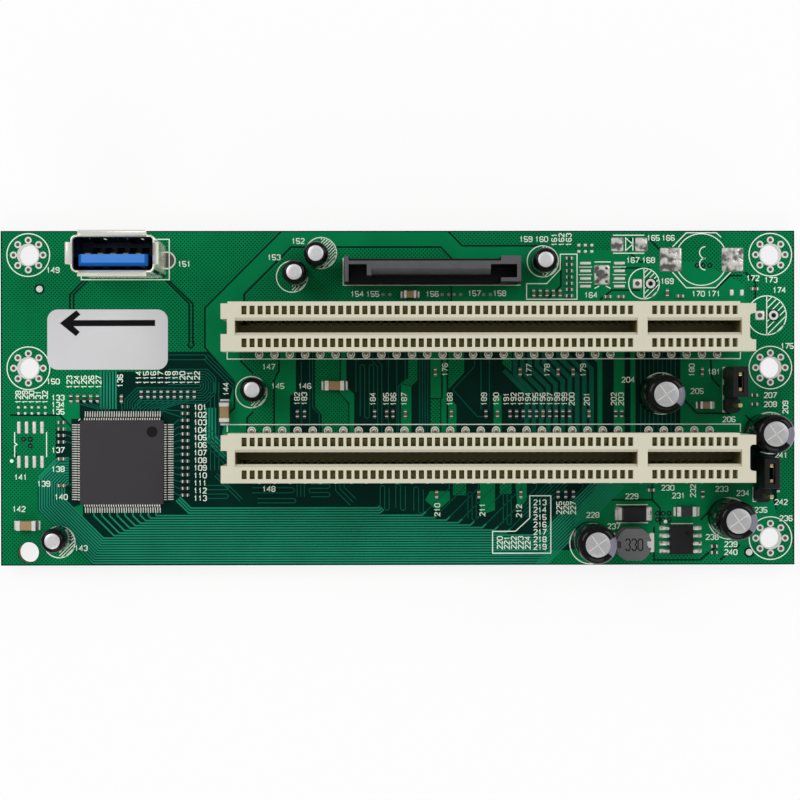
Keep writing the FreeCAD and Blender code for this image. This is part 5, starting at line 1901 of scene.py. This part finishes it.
FLOOR_HALF = 3
FLOOR_DROP = 0.00002
FLOOR_GLOW = 0.82
LAMPS = [
    ("lamp_left", (-0.55, 0.35, 0.6), 1.0, 0.45),
    ("lamp_right", (0.6, 0.3, 0.55), 0.8, 0.45),
    ("lamp_front", (0.05, -0.6, 0.5), 0.7, 0.5),
]
CAMERA_PLACE = (-1.424, 0.246, 290.726 + DECK)
CAMERA_TURN = (-0.002, -0.006, -0.001)
SENSOR_WIDTH = 36
CLIP_START = 0.01
SEEN_RAYS = ("Is Camera Ray", "Is Glossy Ray", "Is Transmission Ray")


class CARD_OT_stage(CardOperator, bpy.types.Operator):
    """Set the floor, the soft lamps and the camera"""

    bl_idname = "card.stage"
    bl_label = "Stage"

    def build(self, context):
        look = context.scene.card_stage
        self.floor(context, look)
        self.lights(context, look)
        self.camera(context, look)

    def floor(self, context, look):
        """A floor that looks white to the camera and lights the card like painted board."""
        f = Finish("studio_floor")
        direct, mirrored, through = f.node("ShaderNodeLightPath", output=SEEN_RAYS)
        seen = direct.at_least(mirrored).at_least(through)
        paint = f.node("ShaderNodeBsdfDiffuse", {}, {"Color": look.floor}, "BSDF")
        glow = f.node("ShaderNodeEmission", {}, {"Color": (1, 1, 1), "Strength": 1.0}, "Emission")
        both = f.node("ShaderNodeMixShader", {}, {0: seen * FLOOR_GLOW, 1: paint, 2: glow})
        f.node("ShaderNodeOutputMaterial", {}, {"Surface": both})
        mesh = bpy.data.meshes.new("studio_floor")
        outline = rectangle(-FLOOR_HALF, FLOOR_HALF, -FLOOR_HALF, FLOOR_HALF)
        mesh.from_pydata(raised(outline, 0), [], [(0, 1, 2, 3)])
        mesh.materials.append(f.material)
        floor = bpy.data.objects.new("studio_floor", mesh)
        floor.location.z = -FLOOR_DROP
        context.scene.collection.objects.link(floor)

    def lights(self, context, look):
        world = bpy.data.worlds.new("studio_sky")
        world.use_nodes = True
        world.node_tree.nodes["Background"].inputs[0].default_value = (1, 1, 1, 1)
        world.node_tree.nodes["Background"].inputs[1].default_value = look.sky
        context.scene.world = world
        for name, place, share, size in LAMPS:
            lamp = bpy.data.lights.new(name, "AREA")
            lamp.energy = look.lamp * share
            lamp.size = size
            made = bpy.data.objects.new(name, lamp)
            made.location = place
            made.rotation_euler = (-Vector(place)).to_track_quat("-Z", "Y").to_euler()
            context.scene.collection.objects.link(made)

    def camera(self, context, look):
        lens = bpy.data.cameras.new("view")
        lens.lens = look.focal
        lens.sensor_width = SENSOR_WIDTH
        lens.clip_start = CLIP_START
        made = bpy.data.objects.new("view", lens)
        made.location = [c * MM for c in CAMERA_PLACE]
        made.rotation_euler = CAMERA_TURN
        context.scene.collection.objects.link(made)
        context.scene.camera = made
        context.scene.view_settings.view_transform = "Standard"


STEPS = (CARD_OT_board, CARD_OT_copper, CARD_OT_pads, CARD_OT_print, CARD_OT_underside, CARD_OT_slots,
         CARD_OT_data_socket, CARD_OT_power_plug, CARD_OT_chips, CARD_OT_cans, CARD_OT_chip_parts,
         CARD_OT_coil_and_diode, CARD_OT_headers, CARD_OT_label, CARD_OT_joints, CARD_OT_stage)
LOOKS = {"card_board": BoardLook, "card_parts": PartLook, "card_stage": StageLook}


class CARD_PT_looks(bpy.types.Panel):
    """Lists the steps that build the card"""

    bl_label = "Adapter card"
    bl_idname = "CARD_PT_looks"
    bl_space_type = "VIEW_3D"
    bl_region_type = "UI"
    bl_category = "Card"

    def draw(self, context):
        for group, look in LOOKS.items():
            box = self.layout.box()
            for name in look.__annotations__:
                box.prop(getattr(context.scene, group), name)
        for step in STEPS:
            self.layout.operator(step.bl_idname)


CLASSES = (*LOOKS.values(), *STEPS, CARD_PT_looks)


def register():
    for item in CLASSES:
        bpy.utils.register_class(item)
    for group, look in LOOKS.items():
        setattr(bpy.types.Scene, group, bpy.props.PointerProperty(type=look))


def unregister():
    for group in LOOKS:
        delattr(bpy.types.Scene, group)
    for item in reversed(CLASSES):
        bpy.utils.unregister_class(item)


def main():
    register()
    for step in STEPS:
        group, name = step.bl_idname.split(".")
        getattr(getattr(bpy.ops, group), name)()


if __name__ == "__main__":
    main()
